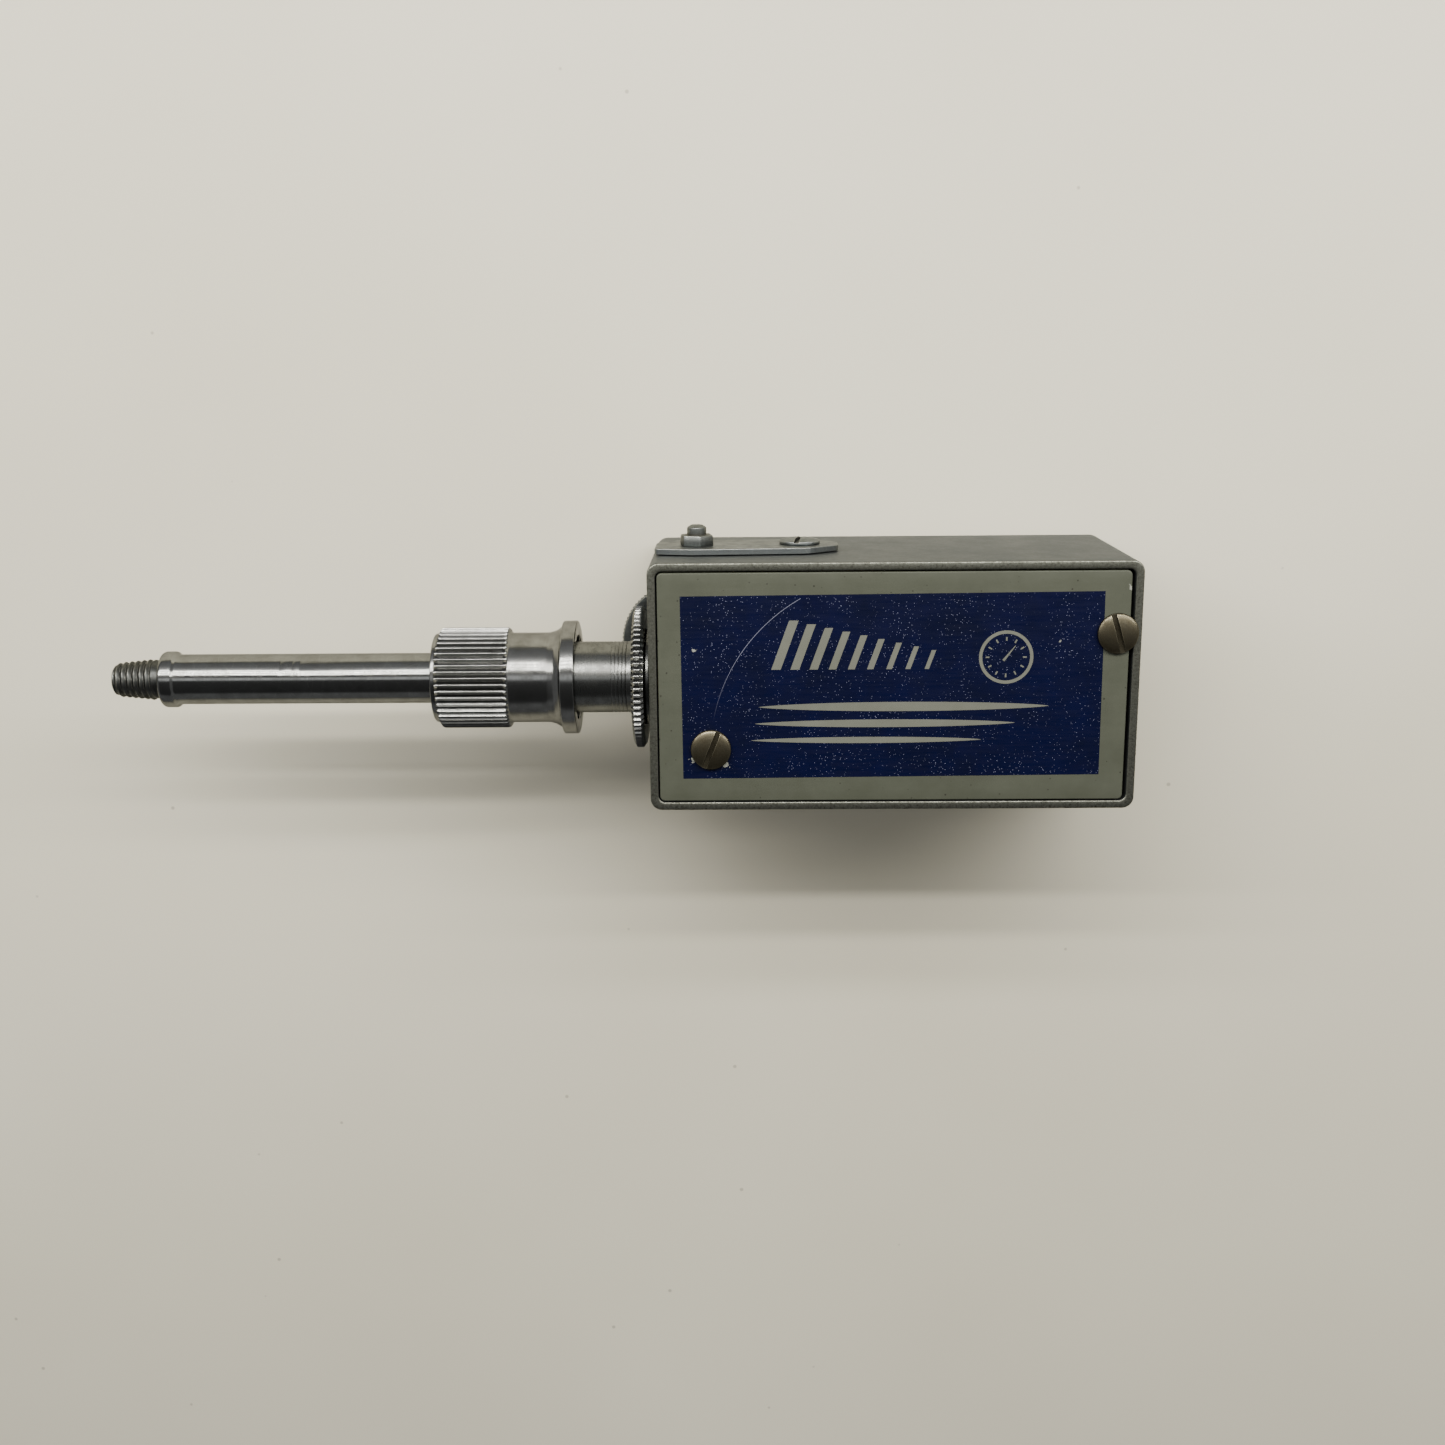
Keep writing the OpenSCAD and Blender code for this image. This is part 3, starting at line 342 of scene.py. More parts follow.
def metal(name, bright, dull, rough, grain, mottle=0.5, bump=0.004, hollow_shade=None, hollow_shade_reach=0.25, wear=None,
          scratches=0.0):
    """Worked metal. bright and dull are the ends of its colour, rough those of its roughness, grain the
    size of its tool marks along X, Y and Z in millimetres, and mottle the size of its stains per
    millimetre. hollow_shade is the colour of painted shade, darkest where a corner or hollow is most
    shut in, and wear the colour on its rubbed edges."""
    material, tree, shader = blank(name)
    place = node(tree, "ShaderNodeTexCoord").outputs["Object"]
    size = node(tree, "ShaderNodeMapping", {"Vector": place, "Scale": (1000, 1000, 1000)}).outputs["Vector"]
    marks = node(tree, "ShaderNodeMapping",
                 {"Vector": size, "Scale": [1 / g for g in grain]}).outputs["Vector"]
    lines = node(tree, "ShaderNodeTexNoise", {"Vector": marks, "Scale": 1, "Detail": 3, "Roughness": 0.6})
    stain = node(tree, "ShaderNodeTexNoise",
                 {"Vector": size, "Scale": mottle, "Detail": 5, "Roughness": 0.62})
    spread = node(tree, "ShaderNodeMapRange",
                  {"Value": stain.outputs["Fac"], "From Min": 0.35, "From Max": 0.68})
    share = node(tree, "ShaderNodeMath",
                 {0: spread.outputs["Result"], 1: lines.outputs["Fac"]}, operation="ADD")
    halved = node(tree, "ShaderNodeMath", {0: share.outputs["Value"], 1: 0.55}, operation="MULTIPLY")
    colour = node(tree, "ShaderNodeMix",
                  {"Factor": halved.outputs["Value"], "A": linear(bright), "B": linear(dull)},
                  data_type="RGBA").outputs["Result"]
    rough_now = node(tree, "ShaderNodeMapRange",
                     {"Value": halved.outputs["Value"], "To Min": rough[0], "To Max": rough[1]})
    roughness = rough_now.outputs["Result"]
    if scratches:
        hair = node(tree, "ShaderNodeTexVoronoi", {"Vector": size, "Scale": 0.55, "Randomness": 1},
                    feature="DISTANCE_TO_EDGE")
        thin = node(tree, "ShaderNodeMapRange", {"Value": hair.outputs["Distance"], "From Min": 0.0,
                                                 "From Max": 0.012, "To Min": scratches, "To Max": 0})
        colour = node(tree, "ShaderNodeMix",
                      {"Factor": thin.outputs["Result"], "A": colour, "B": linear("#d2d2cb")},
                      data_type="RGBA").outputs["Result"]
    if wear:
        soft = node(tree, "ShaderNodeBevel", {"Radius": 0.09 * MM}, samples=4).outputs["Normal"]
        flat = node(tree, "ShaderNodeNewGeometry").outputs["Normal"]
        turn = node(tree, "ShaderNodeVectorMath",
                    {0: soft, 1: flat}, operation="DOT_PRODUCT").outputs["Value"]
        edge = node(tree, "ShaderNodeMapRange", {"Value": turn, "From Min": 0.995, "From Max": 0.9})
        broken = node(tree, "ShaderNodeMath",
                      {0: edge.outputs["Result"], 1: stain.outputs["Fac"]}, operation="MULTIPLY")
        colour = node(tree, "ShaderNodeMix",
                      {"Factor": broken.outputs["Value"], "A": colour, "B": linear(wear)},
                      data_type="RGBA").outputs["Result"]
    # Painted shade: corners, slots and valleys are darkened towards the given colour, and roughened, by how
    # shut in they are
    if hollow_shade:
        shade = node(tree, "ShaderNodeAmbientOcclusion",
                     {"Distance": hollow_shade_reach * MM}, samples=6, only_local=True)
        corner = node(tree, "ShaderNodeMapRange",
                      {"Value": shade.outputs["AO"], "From Min": 0.35, "From Max": 0.85,
                                                   "To Min": 0.92, "To Max": 0})
        colour = node(tree, "ShaderNodeMix",
                      {"Factor": corner.outputs["Result"], "A": colour, "B": linear(hollow_shade)},
                      data_type="RGBA").outputs["Result"]
        roughness = node(tree, "ShaderNodeMix",
                         {"Factor": corner.outputs["Result"], "A": roughness, "B": 0.75}).outputs["Result"]
    tree.links.new(colour, shader.inputs["Base Color"])
    tree.links.new(roughness, shader.inputs["Roughness"])
    shader.inputs["Metallic"].default_value = 1
    shader.inputs["Specular Tint"].default_value = (GLANCE, GLANCE, GLANCE, 1)
    relief = node(tree, "ShaderNodeBump",
                  {"Height": lines.outputs["Fac"], "Strength": 0.6, "Distance": bump * MM})
    tree.links.new(relief.outputs["Normal"], shader.inputs["Normal"])
    return material


def enamel(name, colour, shade, speck, speck_share, speck_size, rough=0.42, scratch=False, chips=()):
    """Stoving enamel on sheet metal: an even coat with dust specks, faint wiping marks and a soft gloss.
    Each chip is the place and reach, in millimetres, of a spot where the coat has flaked to bare metal."""
    material, tree, shader = blank(name)
    place = node(tree, "ShaderNodeTexCoord").outputs["Object"]
    size = node(tree, "ShaderNodeMapping", {"Vector": place, "Scale": (1000, 1000, 1000)}).outputs["Vector"]
    cloud = node(tree, "ShaderNodeTexNoise",
                 {"Vector": size, "Scale": 0.35, "Detail": 6, "Roughness": 0.65})
    tone = node(tree, "ShaderNodeMapRange",
                {"Value": cloud.outputs["Fac"], "From Min": 0.3, "From Max": 0.7})
    coat = node(tree, "ShaderNodeMix",
                {"Factor": tone.outputs["Result"], "A": linear(colour), "B": linear(shade)},
                data_type="RGBA").outputs["Result"]
    dust = node(tree, "ShaderNodeTexVoronoi", {"Vector": size, "Scale": speck_size, "Randomness": 1})
    patch = node(tree, "ShaderNodeTexNoise", {"Vector": size, "Scale": 0.5, "Detail": 2})
    near = node(tree, "ShaderNodeMath", {0: patch.outputs["Fac"], 1: speck_share}, operation="MULTIPLY")
    inside = node(tree, "ShaderNodeMath",
                  {0: near.outputs["Value"], 1: dust.outputs["Distance"]}, operation="SUBTRACT")
    dot = node(tree, "ShaderNodeMapRange",
               {"Value": inside.outputs["Value"], "From Min": 0, "From Max": 0.05,
                                            "To Min": 0, "To Max": 0.8})
    coat = node(tree, "ShaderNodeMix", {"Factor": dot.outputs["Result"], "A": coat, "B": linear(speck)},
                data_type="RGBA").outputs["Result"]
    if scratch:
        coat = curved_scratch(tree, size, coat)
    for x, y, reach in chips:
        coat = flaked_chip(tree, size, coat, (x, y, 0), reach)
    wipe = node(tree, "ShaderNodeMapping", {"Vector": size, "Scale": (0.4, 5, 1), "Rotation": (0, 0, 0.5)})
    streak = node(tree, "ShaderNodeTexNoise", {"Vector": wipe.outputs["Vector"], "Scale": 1, "Detail": 4})
    gloss = node(tree, "ShaderNodeMapRange",
                 {"Value": streak.outputs["Fac"], "To Min": rough - 0.08, "To Max": rough + 0.14})
    skin = node(tree, "ShaderNodeTexNoise", {"Vector": size, "Scale": 6, "Detail": 3})
    relief = node(tree, "ShaderNodeBump",
                  {"Height": skin.outputs["Fac"], "Strength": 0.25, "Distance": 0.004 * MM})
    tree.links.new(coat, shader.inputs["Base Color"])
    tree.links.new(gloss.outputs["Result"], shader.inputs["Roughness"])
    tree.links.new(relief.outputs["Normal"], shader.inputs["Normal"])
    shader.inputs["Specular IOR Level"].default_value = 0.24
    return material


# Circle that the long scratch in the blue field follows, and the stretch of it that is scratched
SCRATCH_CENTRE = (-0.3, -5.1, 0)
SCRATCH_RADIUS = 14.09
SCRATCH_WIDTH = 0.028


def curved_scratch(tree, size, coat):
    """One long hair scratch that fades out at both ends"""
    offset = node(tree, "ShaderNodeVectorMath",
                  {0: size, 1: SCRATCH_CENTRE}, operation="SUBTRACT").outputs["Vector"]
    flat = node(tree, "ShaderNodeVectorMath",
                {0: offset, 1: (1, 1, 0)}, operation="MULTIPLY").outputs["Vector"]
    reach = node(tree, "ShaderNodeVectorMath", {0: flat}, operation="LENGTH").outputs["Value"]
    across = node(tree, "ShaderNodeMath",
                  {0: reach, 1: SCRATCH_RADIUS}, operation="SUBTRACT").outputs["Value"]
    away = node(tree, "ShaderNodeMath", {0: across}, operation="ABSOLUTE").outputs["Value"]
    thin = node(tree, "ShaderNodeMapRange", {"Value": away, "From Min": 0, "From Max": SCRATCH_WIDTH,
                                             "To Min": 0.55, "To Max": 0}).outputs["Result"]
    apart = node(tree, "ShaderNodeSeparateXYZ", {"Vector": offset})
    start = node(tree, "ShaderNodeMapRange",
                 {"Value": apart.outputs["Y"], "From Min": 2.5, "From Max": 8}).outputs["Result"]
    left = node(tree, "ShaderNodeMath",
                {0: apart.outputs["X"], 1: -7}, operation="LESS_THAN").outputs["Value"]
    shown = node(tree, "ShaderNodeMath", {0: thin, 1: start}, operation="MULTIPLY").outputs["Value"]
    share = node(tree, "ShaderNodeMath", {0: shown, 1: left}, operation="MULTIPLY").outputs["Value"]
    return node(tree, "ShaderNodeMix", {"Factor": share, "A": coat, "B": linear("#a9adc0")},
                data_type="RGBA").outputs["Result"]


def flaked_chip(tree, size, coat, centre, reach):
    """Small ragged spot of bare metal"""
    offset = node(tree, "ShaderNodeVectorMath",
                  {0: size, 1: centre}, operation="SUBTRACT").outputs["Vector"]
    flat = node(tree, "ShaderNodeVectorMath",
                {0: offset, 1: (1, 1, 0)}, operation="MULTIPLY").outputs["Vector"]
    away = node(tree, "ShaderNodeVectorMath", {0: flat}, operation="LENGTH").outputs["Value"]
    ragged = node(tree, "ShaderNodeTexNoise", {"Vector": size, "Scale": 3.2, "Detail": 3}).outputs["Fac"]
    pull = node(tree, "ShaderNodeMath", {0: ragged, 1: 0.3}, operation="SUBTRACT").outputs["Value"]
    limit = node(tree, "ShaderNodeMath", {0: pull, 1: reach * 3.5}, operation="MULTIPLY").outputs["Value"]
    inside = node(tree, "ShaderNodeMath", {0: limit, 1: away}, operation="SUBTRACT").outputs["Value"]
    share = node(tree, "ShaderNodeMapRange",
                 {"Value": inside, "From Min": 0, "From Max": 0.06, "To Max": 0.85})
    return node(tree, "ShaderNodeMix",
                {"Factor": share.outputs["Result"], "A": coat, "B": linear("#8f9187")},
                data_type="RGBA").outputs["Result"]


# Blasted and anodised aluminium sheet: an even, soft grey with hardly any reflection
satin_can = metal("anodised_aluminium_can", "#676b6c", "#5c6061", (0.42, 0.6), (0.25, 0.25, 0.25),
                  mottle=0.25, bump=0.003, wear="#c9c9c2")
# Sawn edge of the drawn can: bare, dark, with bright lines left by the cutter
raw_rim = metal("cut_aluminium_rim", "#8c8e84", "#31322b", (0.3, 0.55), (0.14, 0.14, 0.5),
                mottle=5, bump=0.02, wear="#b5b4ab")
# Grey-green stoving enamel: an even satin coat with a few dark specks
border_enamel = enamel("grey_green_enamel", "#484b41", "#41443a", "#23221c", 0.2, 1.3,
                       chips=[(18.2, 7.9, 0.34), (-14.6, -6.6, 0.3)])
# Deep blue stoving enamel: glossier, with pale dust specks and one long scratch
field_enamel = enamel("deep_blue_enamel", "#010428", "#01041e", "#7a7e94", 0.27, 5.2,
                      rough=0.34, scratch=True,
                      chips=[(-15.7, -5.6, 0.4), (-13.2, -6.2, 0.36), (-15.6, 3.1, 0.2), (12.9, 3.6, 0.16)])
# Pale grey-green enamel of the printed marks
mark_enamel = enamel("pale_enamel", "#64665d", "#5c5e55", "#484941", 0.12, 2)
# Old nickelled brass: brown where the plating has gone, bright on the rubbed edges, with painted shade deep
# in its slots
screw_brass = metal("aged_brass", "#777260", "#3f3a2d", (0.26, 0.48), (0.08, 0.8, 0.8),
                    mottle=1.6, bump=0.006, hollow_shade="#0e0b07", hollow_shade_reach=0.6, wear="#aca68f")
# Bright chrome on a turned tube: near mirror, with fine lines round it and small worn spots, and painted
# shade in its corners and scribed marks
tube_chrome = metal("chrome_plate", "#898b8a", "#6b6c6a", (0.09, 0.2), (0.05, 3, 3),
                    mottle=0.9, bump=0.002, hollow_shade="#3a352d", hollow_shade_reach=0.2, scratches=0.15)
# Satin nickel on the turned sleeve: fine tool lines, with painted shade in the knurling's valleys
sleeve_nickel = metal("satin_nickel_plate", "#8e8f8e", "#626361", (0.1, 0.26), (0.06, 3, 3),
                      mottle=0.8, bump=0.003, hollow_shade="#171613", hollow_shade_reach=0.8, wear="#c5c6c0")
# Turned nickel boss: dull, with tool lines that show and painted shade in its grooves and corners
boss_nickel = metal("turned_nickel", "#808280", "#50514f", (0.16, 0.36), (0.05, 2.5, 2.5),
                    mottle=0.7, bump=0.006, hollow_shade="#1c1a15", hollow_shade_reach=0.4)
# Bare steel thread: dark with handling, with painted shade in its roots, bright only on its crests
thread_steel = metal("bare_steel", "#5c5e5d", "#2f302e", (0.3, 0.5), (0.1, 0.6, 0.6),
                     mottle=1.8, bump=0.006, hollow_shade="#0c0b09", hollow_shade_reach=0.5, wear="#d0cfc6")
# Nickelled steel sheet, rubbed by the thumb: grey with bright edges, and painted shade in its corners and
# ribs
lever_nickel = metal("worn_nickel_sheet", "#858a8b", "#5b5f5f", (0.25, 0.5), (1.2, 0.2, 0.2),
                     mottle=1.1, bump=0.006, hollow_shade="#16130d", hollow_shade_reach=0.6, wear="#cfcfc6", scratches=0.12)
# Dull plated stud with painted shade round its foot
stud_metal = metal("dull_plated_steel", "#767a79", "#494c4a", (0.28, 0.5), (0.3, 0.1, 0.3),
                   mottle=1.6, bump=0.006, hollow_shade="#2b2416", hollow_shade_reach=0.5, wear="#b9b9b0")
# Machined brass of the movement: warm, with fine rolling lines and light oil stains
plate_brass = metal("rolled_brass", "#c9a862", "#9c7f42", (0.22, 0.42), (2.5, 0.12, 0.12),
                    mottle=0.7, bump=0.003, wear="#e0c88c")
# Cut and polished steel of arbors, pinions and levers
arbor_steel = metal("polished_steel", "#b4b5b3", "#85868a", (0.16, 0.34), (0.3, 0.3, 0.08),
                    mottle=1, bump=0.003, wear="#d8d8d6")
# Tempered spring wire: blue-grey with an oily sheen
spring_metal = metal("tempered_spring_steel", "#6d7280", "#454a58", (0.2, 0.36), (0.4, 0.15, 0.15),
                     mottle=1.2, bump=0.002)


# ---- can and cover ----


def can_body():
    """Drawn can, open at the front: outer skin, eased rim, inner skin, then its holes"""
    centre = (case_low + case_high) / 2
    half = (case_high - case_low) / 2
    depth = case_high.z
    steps = 7
    inner_round = CAN_BACK_ROUND - CAN_WALL

    def back_arc(radius, level, inset, corner, angles):
        return [(inset + radius * (1 - math.cos(a)), level + radius * (1 - math.sin(a)), corner)
                for a in angles]

    sweep = [i * math.pi / 2 / steps for i in range(steps + 1)]
    outside = back_arc(CAN_BACK_ROUND, 0, 0, CAN_CORNER, sweep[::-1])
    rim = eased([(0, depth - 1, CAN_CORNER), (0, depth, CAN_CORNER),
                 (CAN_WALL, depth, CAN_CORNER_INSIDE), (CAN_WALL, depth - 1, CAN_CORNER_INSIDE)], RIM_EASE)
    inside = back_arc(inner_round, CAN_WALL, CAN_WALL, CAN_CORNER_INSIDE, sweep)
    bm = moved(pressed(outside + rim + inside, half.x, half.y), Matrix.Translation((centre.x, centre.y, 0)))
    wheel_reach = (wheel_high.y - wheel_low.y) / 2 + 0.15
    wheel_y = (wheel_high.y + wheel_low.y) / 2
    boss_hole = moved(turned([(BOSS_SHANK + FIT, -1, 0), (BOSS_SHANK + FIT, 2, 0)]),
                      Matrix.Translation((case_low.x, 0, 0)) @ ON_RELEASE_AXIS)
    bush = LEVER_BUSH + FIT
    bush_hole = moved(turned([(bush, -2, 0), (bush, 2, 0)]), on_lever_axis(LEVER_X, case_high.y, LEVER_Z))
    wheel_slot = block((case_low.x - 1, wheel_y - wheel_reach, wheel_low.z - WHEEL_SLOT_GAP),
                       (case_low.x + CAN_WALL + 0.3, wheel_y + wheel_reach, wheel_high.z + WHEEL_SLOT_GAP))
    sink = BACK_SCREW_HEAD + 2 * FIT
    hole = BACK_SCREW_SHANK + 2 * FIT
    screw_hole = [(sink + 1, -1, 0), (sink, 0, 0), (hole, sink - hole, 0), (hole, 2, 0)]
    back_holes = [moved(turned(screw_hole), Matrix.Translation((*spot, 0))) for spot in back_screw_spots()]
    bm = cut(bm, boss_hole, bush_hole, wheel_slot, *back_holes)
    for face in bm.faces:
        face.material_index = int(face.calc_center_median().z > depth - RIM_EASE * 0.6)
    return bm


def back_screw_spots():
    """Centres of the four screws in the can's back, from the box that they fill"""
    left, right = backs_low.x + BACK_SCREW_HEAD, backs_high.x - BACK_SCREW_HEAD
    low, high = backs_low.y + BACK_SCREW_HEAD, backs_high.y - BACK_SCREW_HEAD
    return [(left, low), (left + BACK_SCREW_SHIFT, high), (right, low), (right, high)]


def cover_screw_spots():
    """Centres of the low screw beside the release tube and of the one near the far end"""
    return [(screws_low.x + COVER_SCREW_HEAD, screws_low.y + COVER_SCREW_HEAD),
            (screws_high.x - COVER_SCREW_HEAD, screws_high.y - COVER_SCREW_HEAD)]


def cover_sheet():
    """Flat cover plate with eased edges and its two screw holes"""
    centre = (cover_low + cover_high) / 2
    half = (cover_high - cover_low) / 2
    profile = eased([(1, cover_low.z, COVER_CORNER), (0, cover_low.z, COVER_CORNER),
                     (0, cover_high.z, COVER_CORNER), (1, cover_high.z, COVER_CORNER)], 0.09)
    bm = moved(pressed(profile, half.x, half.y), Matrix.Translation((centre.x, centre.y, 0)))
    hole = COVER_SCREW_SHANK + FIT
    holes = [moved(turned([(hole, cover_low.z - 1, 0), (hole, cover_high.z + 1, 0)]),
                   Matrix.Translation((*spot, 0))) for spot in cover_screw_spots()]
    return cut(bm, *holes)


def flat_shape(corners, level):
    """Thin coat of paint inside a ring of corners"""
    bm = bmesh.new()
    face = bm.faces.new([bm.verts.new((x, y, level)) for x, y in corners])
    top = bmesh.ops.extrude_face_region(bm, geom=[face])["geom"]
    bmesh.ops.translate(bm, vec=(0, 0, PAINT), verts=[g for g in top if isinstance(g, bmesh.types.BMVert)])
    bmesh.ops.recalc_face_normals(bm, faces=bm.faces)
    return bm


def blue_field():
    """Blue field, printed a hair out of square"""
    x, y = FIELD_LENGTH / 2, FIELD_HEIGHT / 2
    bm = flat_shape([(-x, -y), (x, -y), (x, y), (-x, y)], cover_high.z)
    return moved(bm, Matrix.Translation((*FIELD_SPOT, 0)) @ Matrix.Rotation(FIELD_TURN, 4, "Z"))


def spindle(x0, x1, y, width, level):
    """Long painted line that tapers to both ends"""
    steps = 24
    reach = (x1 - x0) / 2
    edge = [(x0 + reach * (1 - math.cos(math.pi * i / steps)),
             width / 2 * math.sin(math.pi * i / steps) ** 1.4) for i in range(steps + 1)]
    upper = [(px, y + py) for px, py in edge]
    lower = [(px, y - py) for px, py in edge[-2:0:-1]]
    return flat_shape(upper + lower, level)


def slanted_bar(x, y, width, height, level):
    """One leaning bar of the run-down scale"""
    lean = 0.36 * height
    return flat_shape([(x, y), (x + width, y), (x + width + lean, y + height), (x + lean, y + height)], level)


# The marks: how many bars and ticks, where the dial stands, and the radii of its ring
BARS = 9
BAR_START = -9.6
BAR_PITCH = 1.5
BAR_FOOT = 1.5
LINES = [(-10.6, 12.2), (-10.9, 9.6), (-11.2, 7.0)]
LINE_TOP = -1.5
LINE_PITCH = 1.35
DIAL_SPOT = (8.75, 2.4, 0)
DIAL_INSIDE = 1.86
DIAL_OUTSIDE = 2.12
DIAL_TICKS = 12
HAND_TURN = math.radians(52)


def painted_marks():
    """Plain marks of a timer: a run-down scale, three speed lines and a dial with one hand"""
    level = cover_high.z + PAINT
    shapes = []
    for i in range(BARS):
        x = BAR_START + BAR_PITCH * i
        shapes.append(slanted_bar(x, BAR_FOOT, 0.75 - 0.05 * i, 3.9 - 0.3 * i, level))
    for line, (start, end) in enumerate(LINES):
        shapes.append(spindle(start, end, LINE_TOP - LINE_PITCH * line, 0.75 - 0.12 * line, level))
    dial = Matrix.Translation(DIAL_SPOT)
    ring = [(DIAL_INSIDE, level, 0), (DIAL_INSIDE, level + PAINT, 0), (DIAL_OUTSIDE, level + PAINT, 0),
            (DIAL_OUTSIDE, level, 0), (DIAL_INSIDE, level, 0)]
    shapes.append(moved(turned(ring), dial))
    for i in range(DIAL_TICKS):
        tick = flat_shape([(1.3, -0.06), (1.6, -0.06), (1.6, 0.06), (1.3, 0.06)], level)
        shapes.append(moved(tick, dial @ Matrix.Rotation(i * 2 * math.pi / DIAL_TICKS, 4, "Z")))
    hand = flat_shape([(-0.35, -0.1), (1.15, -0.03), (1.15, 0.03), (-0.35, 0.1)], level)
    shapes.append(moved(hand, dial @ Matrix.Rotation(HAND_TURN, 4, "Z")))
    return joined(*shapes)


def slotted_head(radius, shank, height, shank_length, slot_turn):
    """Cheese-head screw standing on z = 0: low dome, sawn slot, plain shank below"""
    outline = [(shank * 0.6, -shank_length, 0), (shank, -shank_length, 0), (shank, 0, 0), (radius, 0, 0),
               (radius, height * 0.42, 0)]
    outline += [(radius * math.cos(math.radians(a)), height * (0.42 + 0.58 * math.sin(math.radians(a))), 0)
                for a in (12, 26, 40, 54, 68, 80)]
    slot = block((-2 * radius, -SLOT_WIDTH / 2, height - SLOT_DEPTH),
                 (2 * radius, SLOT_WIDTH / 2, height + 1))
    return cut(turned(eased(outline, 0.08)), moved(slot, Matrix.Rotation(slot_turn, 4, "Z")))


def cover_screw_pair():
    """The two cover screws, each stopped at its own angle"""
    height = screws_high.z - cover_high.z - FIT
    shank = cover_high.z + FIT - screws_low.z
    heads = []
    for spot, turn in zip(cover_screw_spots(), COVER_SCREW_TURNS):
        head = slotted_head(COVER_SCREW_HEAD, COVER_SCREW_SHANK, height, shank, math.radians(turn))
        heads.append(moved(head, Matrix.Translation((*spot, cover_high.z + FIT))))
    return joined(*heads)


piece("drawn_can", can_body(), "case", [satin_can, raw_rim], ["case_shell"])
piece("cover_sheet", cover_sheet(), "case", [border_enamel], ["cover_plate"])
piece("blue_field", blue_field(), "case", [field_enamel])
piece("painted_marks", painted_marks(), "case", [mark_enamel])
piece("cover_screw_pair", cover_screw_pair(), "case", [screw_brass], ["cover_screws"],
      edge=0.03)


# ---- release tube, sleeve, boss and lock ring ----


def release_thread_body():
    """Right-handed tapered thread with its bore and the shank that sits in the tube"""
    tip = thread_low.x
    shoulder = tube_low.x
    length = shoulder - tip
    per_pitch = 10
    steps = int((length - 0.5) / THREAD_PITCH * per_pitch)

    def thread_groove(angle, along):
        phase = ((along - tip) / THREAD_PITCH - angle / (2 * math.pi)) % 1
        return abs(2 * phase - 1) ** 1.3

    def outer(along):
        return THREAD_TIP + (THREAD_ROOT - THREAD_TIP) * (along - tip) / length

    rings = [(THREAD_BORE, shoulder, 0), (THREAD_BORE, tip + 0.15, 0), (THREAD_BORE + 0.12, tip, 0),
             (outer(tip) - THREAD_DEPTH - 0.1, tip, 0)]
    for i in range(steps + 1):
        along = tip + 0.1 + i * THREAD_PITCH / per_pitch
        fade = min(1, 0.25 + i / per_pitch, 0.1 + (steps - i) / per_pitch)
        rings.append((outer(along) - THREAD_DEPTH * (1 - fade), along, THREAD_DEPTH * fade))
    neck = outer(shoulder) - THREAD_DEPTH - 0.12
    rings += [(neck, shoulder - 0.25, 0), (neck, shoulder, 0), (THREAD_SHANK, shoulder, 0),
              (THREAD_SHANK, thread_high.x, 0), (THREAD_BORE, thread_high.x, 0), (THREAD_BORE, shoulder, 0)]
    return moved(turned(rings, groove=thread_groove), ON_RELEASE_AXIS)


def release_tube_body():
    """Plated tube with its collar and three small assembly marks scribed across it"""
    start, end = tube_low.x, tube_high.x
    marks = [start + 9.9, start + 10.9, start + 11.5]
    half_mark = 0.03
    mark_depth = 0.015

    def scribed(angle, along):
        facing = math.cos(angle - math.radians(145))
        return 1 if facing > 0.94 else 0

    profile = eased([(TUBE_BORE, start + 2, 0), (TUBE_BORE, start, 0), (COLLAR - 0.12, start, 0),
                     (COLLAR, start + 0.22, 0), (COLLAR, start + COLLAR_LENGTH - 0.3, 0),
                     (TUBE, start + COLLAR_LENGTH, 0), (TUBE, start + COLLAR_LENGTH + 1, 0)], 0.12)
    for mark in marks:
        profile += [(TUBE, mark - 2 * half_mark, 0), (TUBE, mark - half_mark, mark_depth),
                    (TUBE, mark + half_mark, mark_depth), (TUBE, mark + 2 * half_mark, 0)]
    profile += [(TUBE, end, 0), (TUBE_BORE, end, 0), (TUBE_BORE, start + 2, 0)]
    return moved(turned(profile, groove=scribed), ON_RELEASE_AXIS)


def sleeve_cap_body():
    """Turned cap that closes the sleeve round the tube"""
    start, plug_end = cap_low.x, cap_high.x
    rim_end = plug_end - CAP_PLUG
    bore = TUBE + FIT
    rim = (cap_high.y - cap_low.y) / 2
    plug = CHAMBER - FIT
    profile = eased([(bore, start + 0.6, 0), (bore, start, 0), (rim, start, 0), (rim, rim_end, 0),
                     (plug, rim_end, 0), (plug, plug_end, 0), (bore, plug_end, 0),
                     (bore, start + 0.6, 0)], 0.13)
    return moved(turned(profile), ON_RELEASE_AXIS)


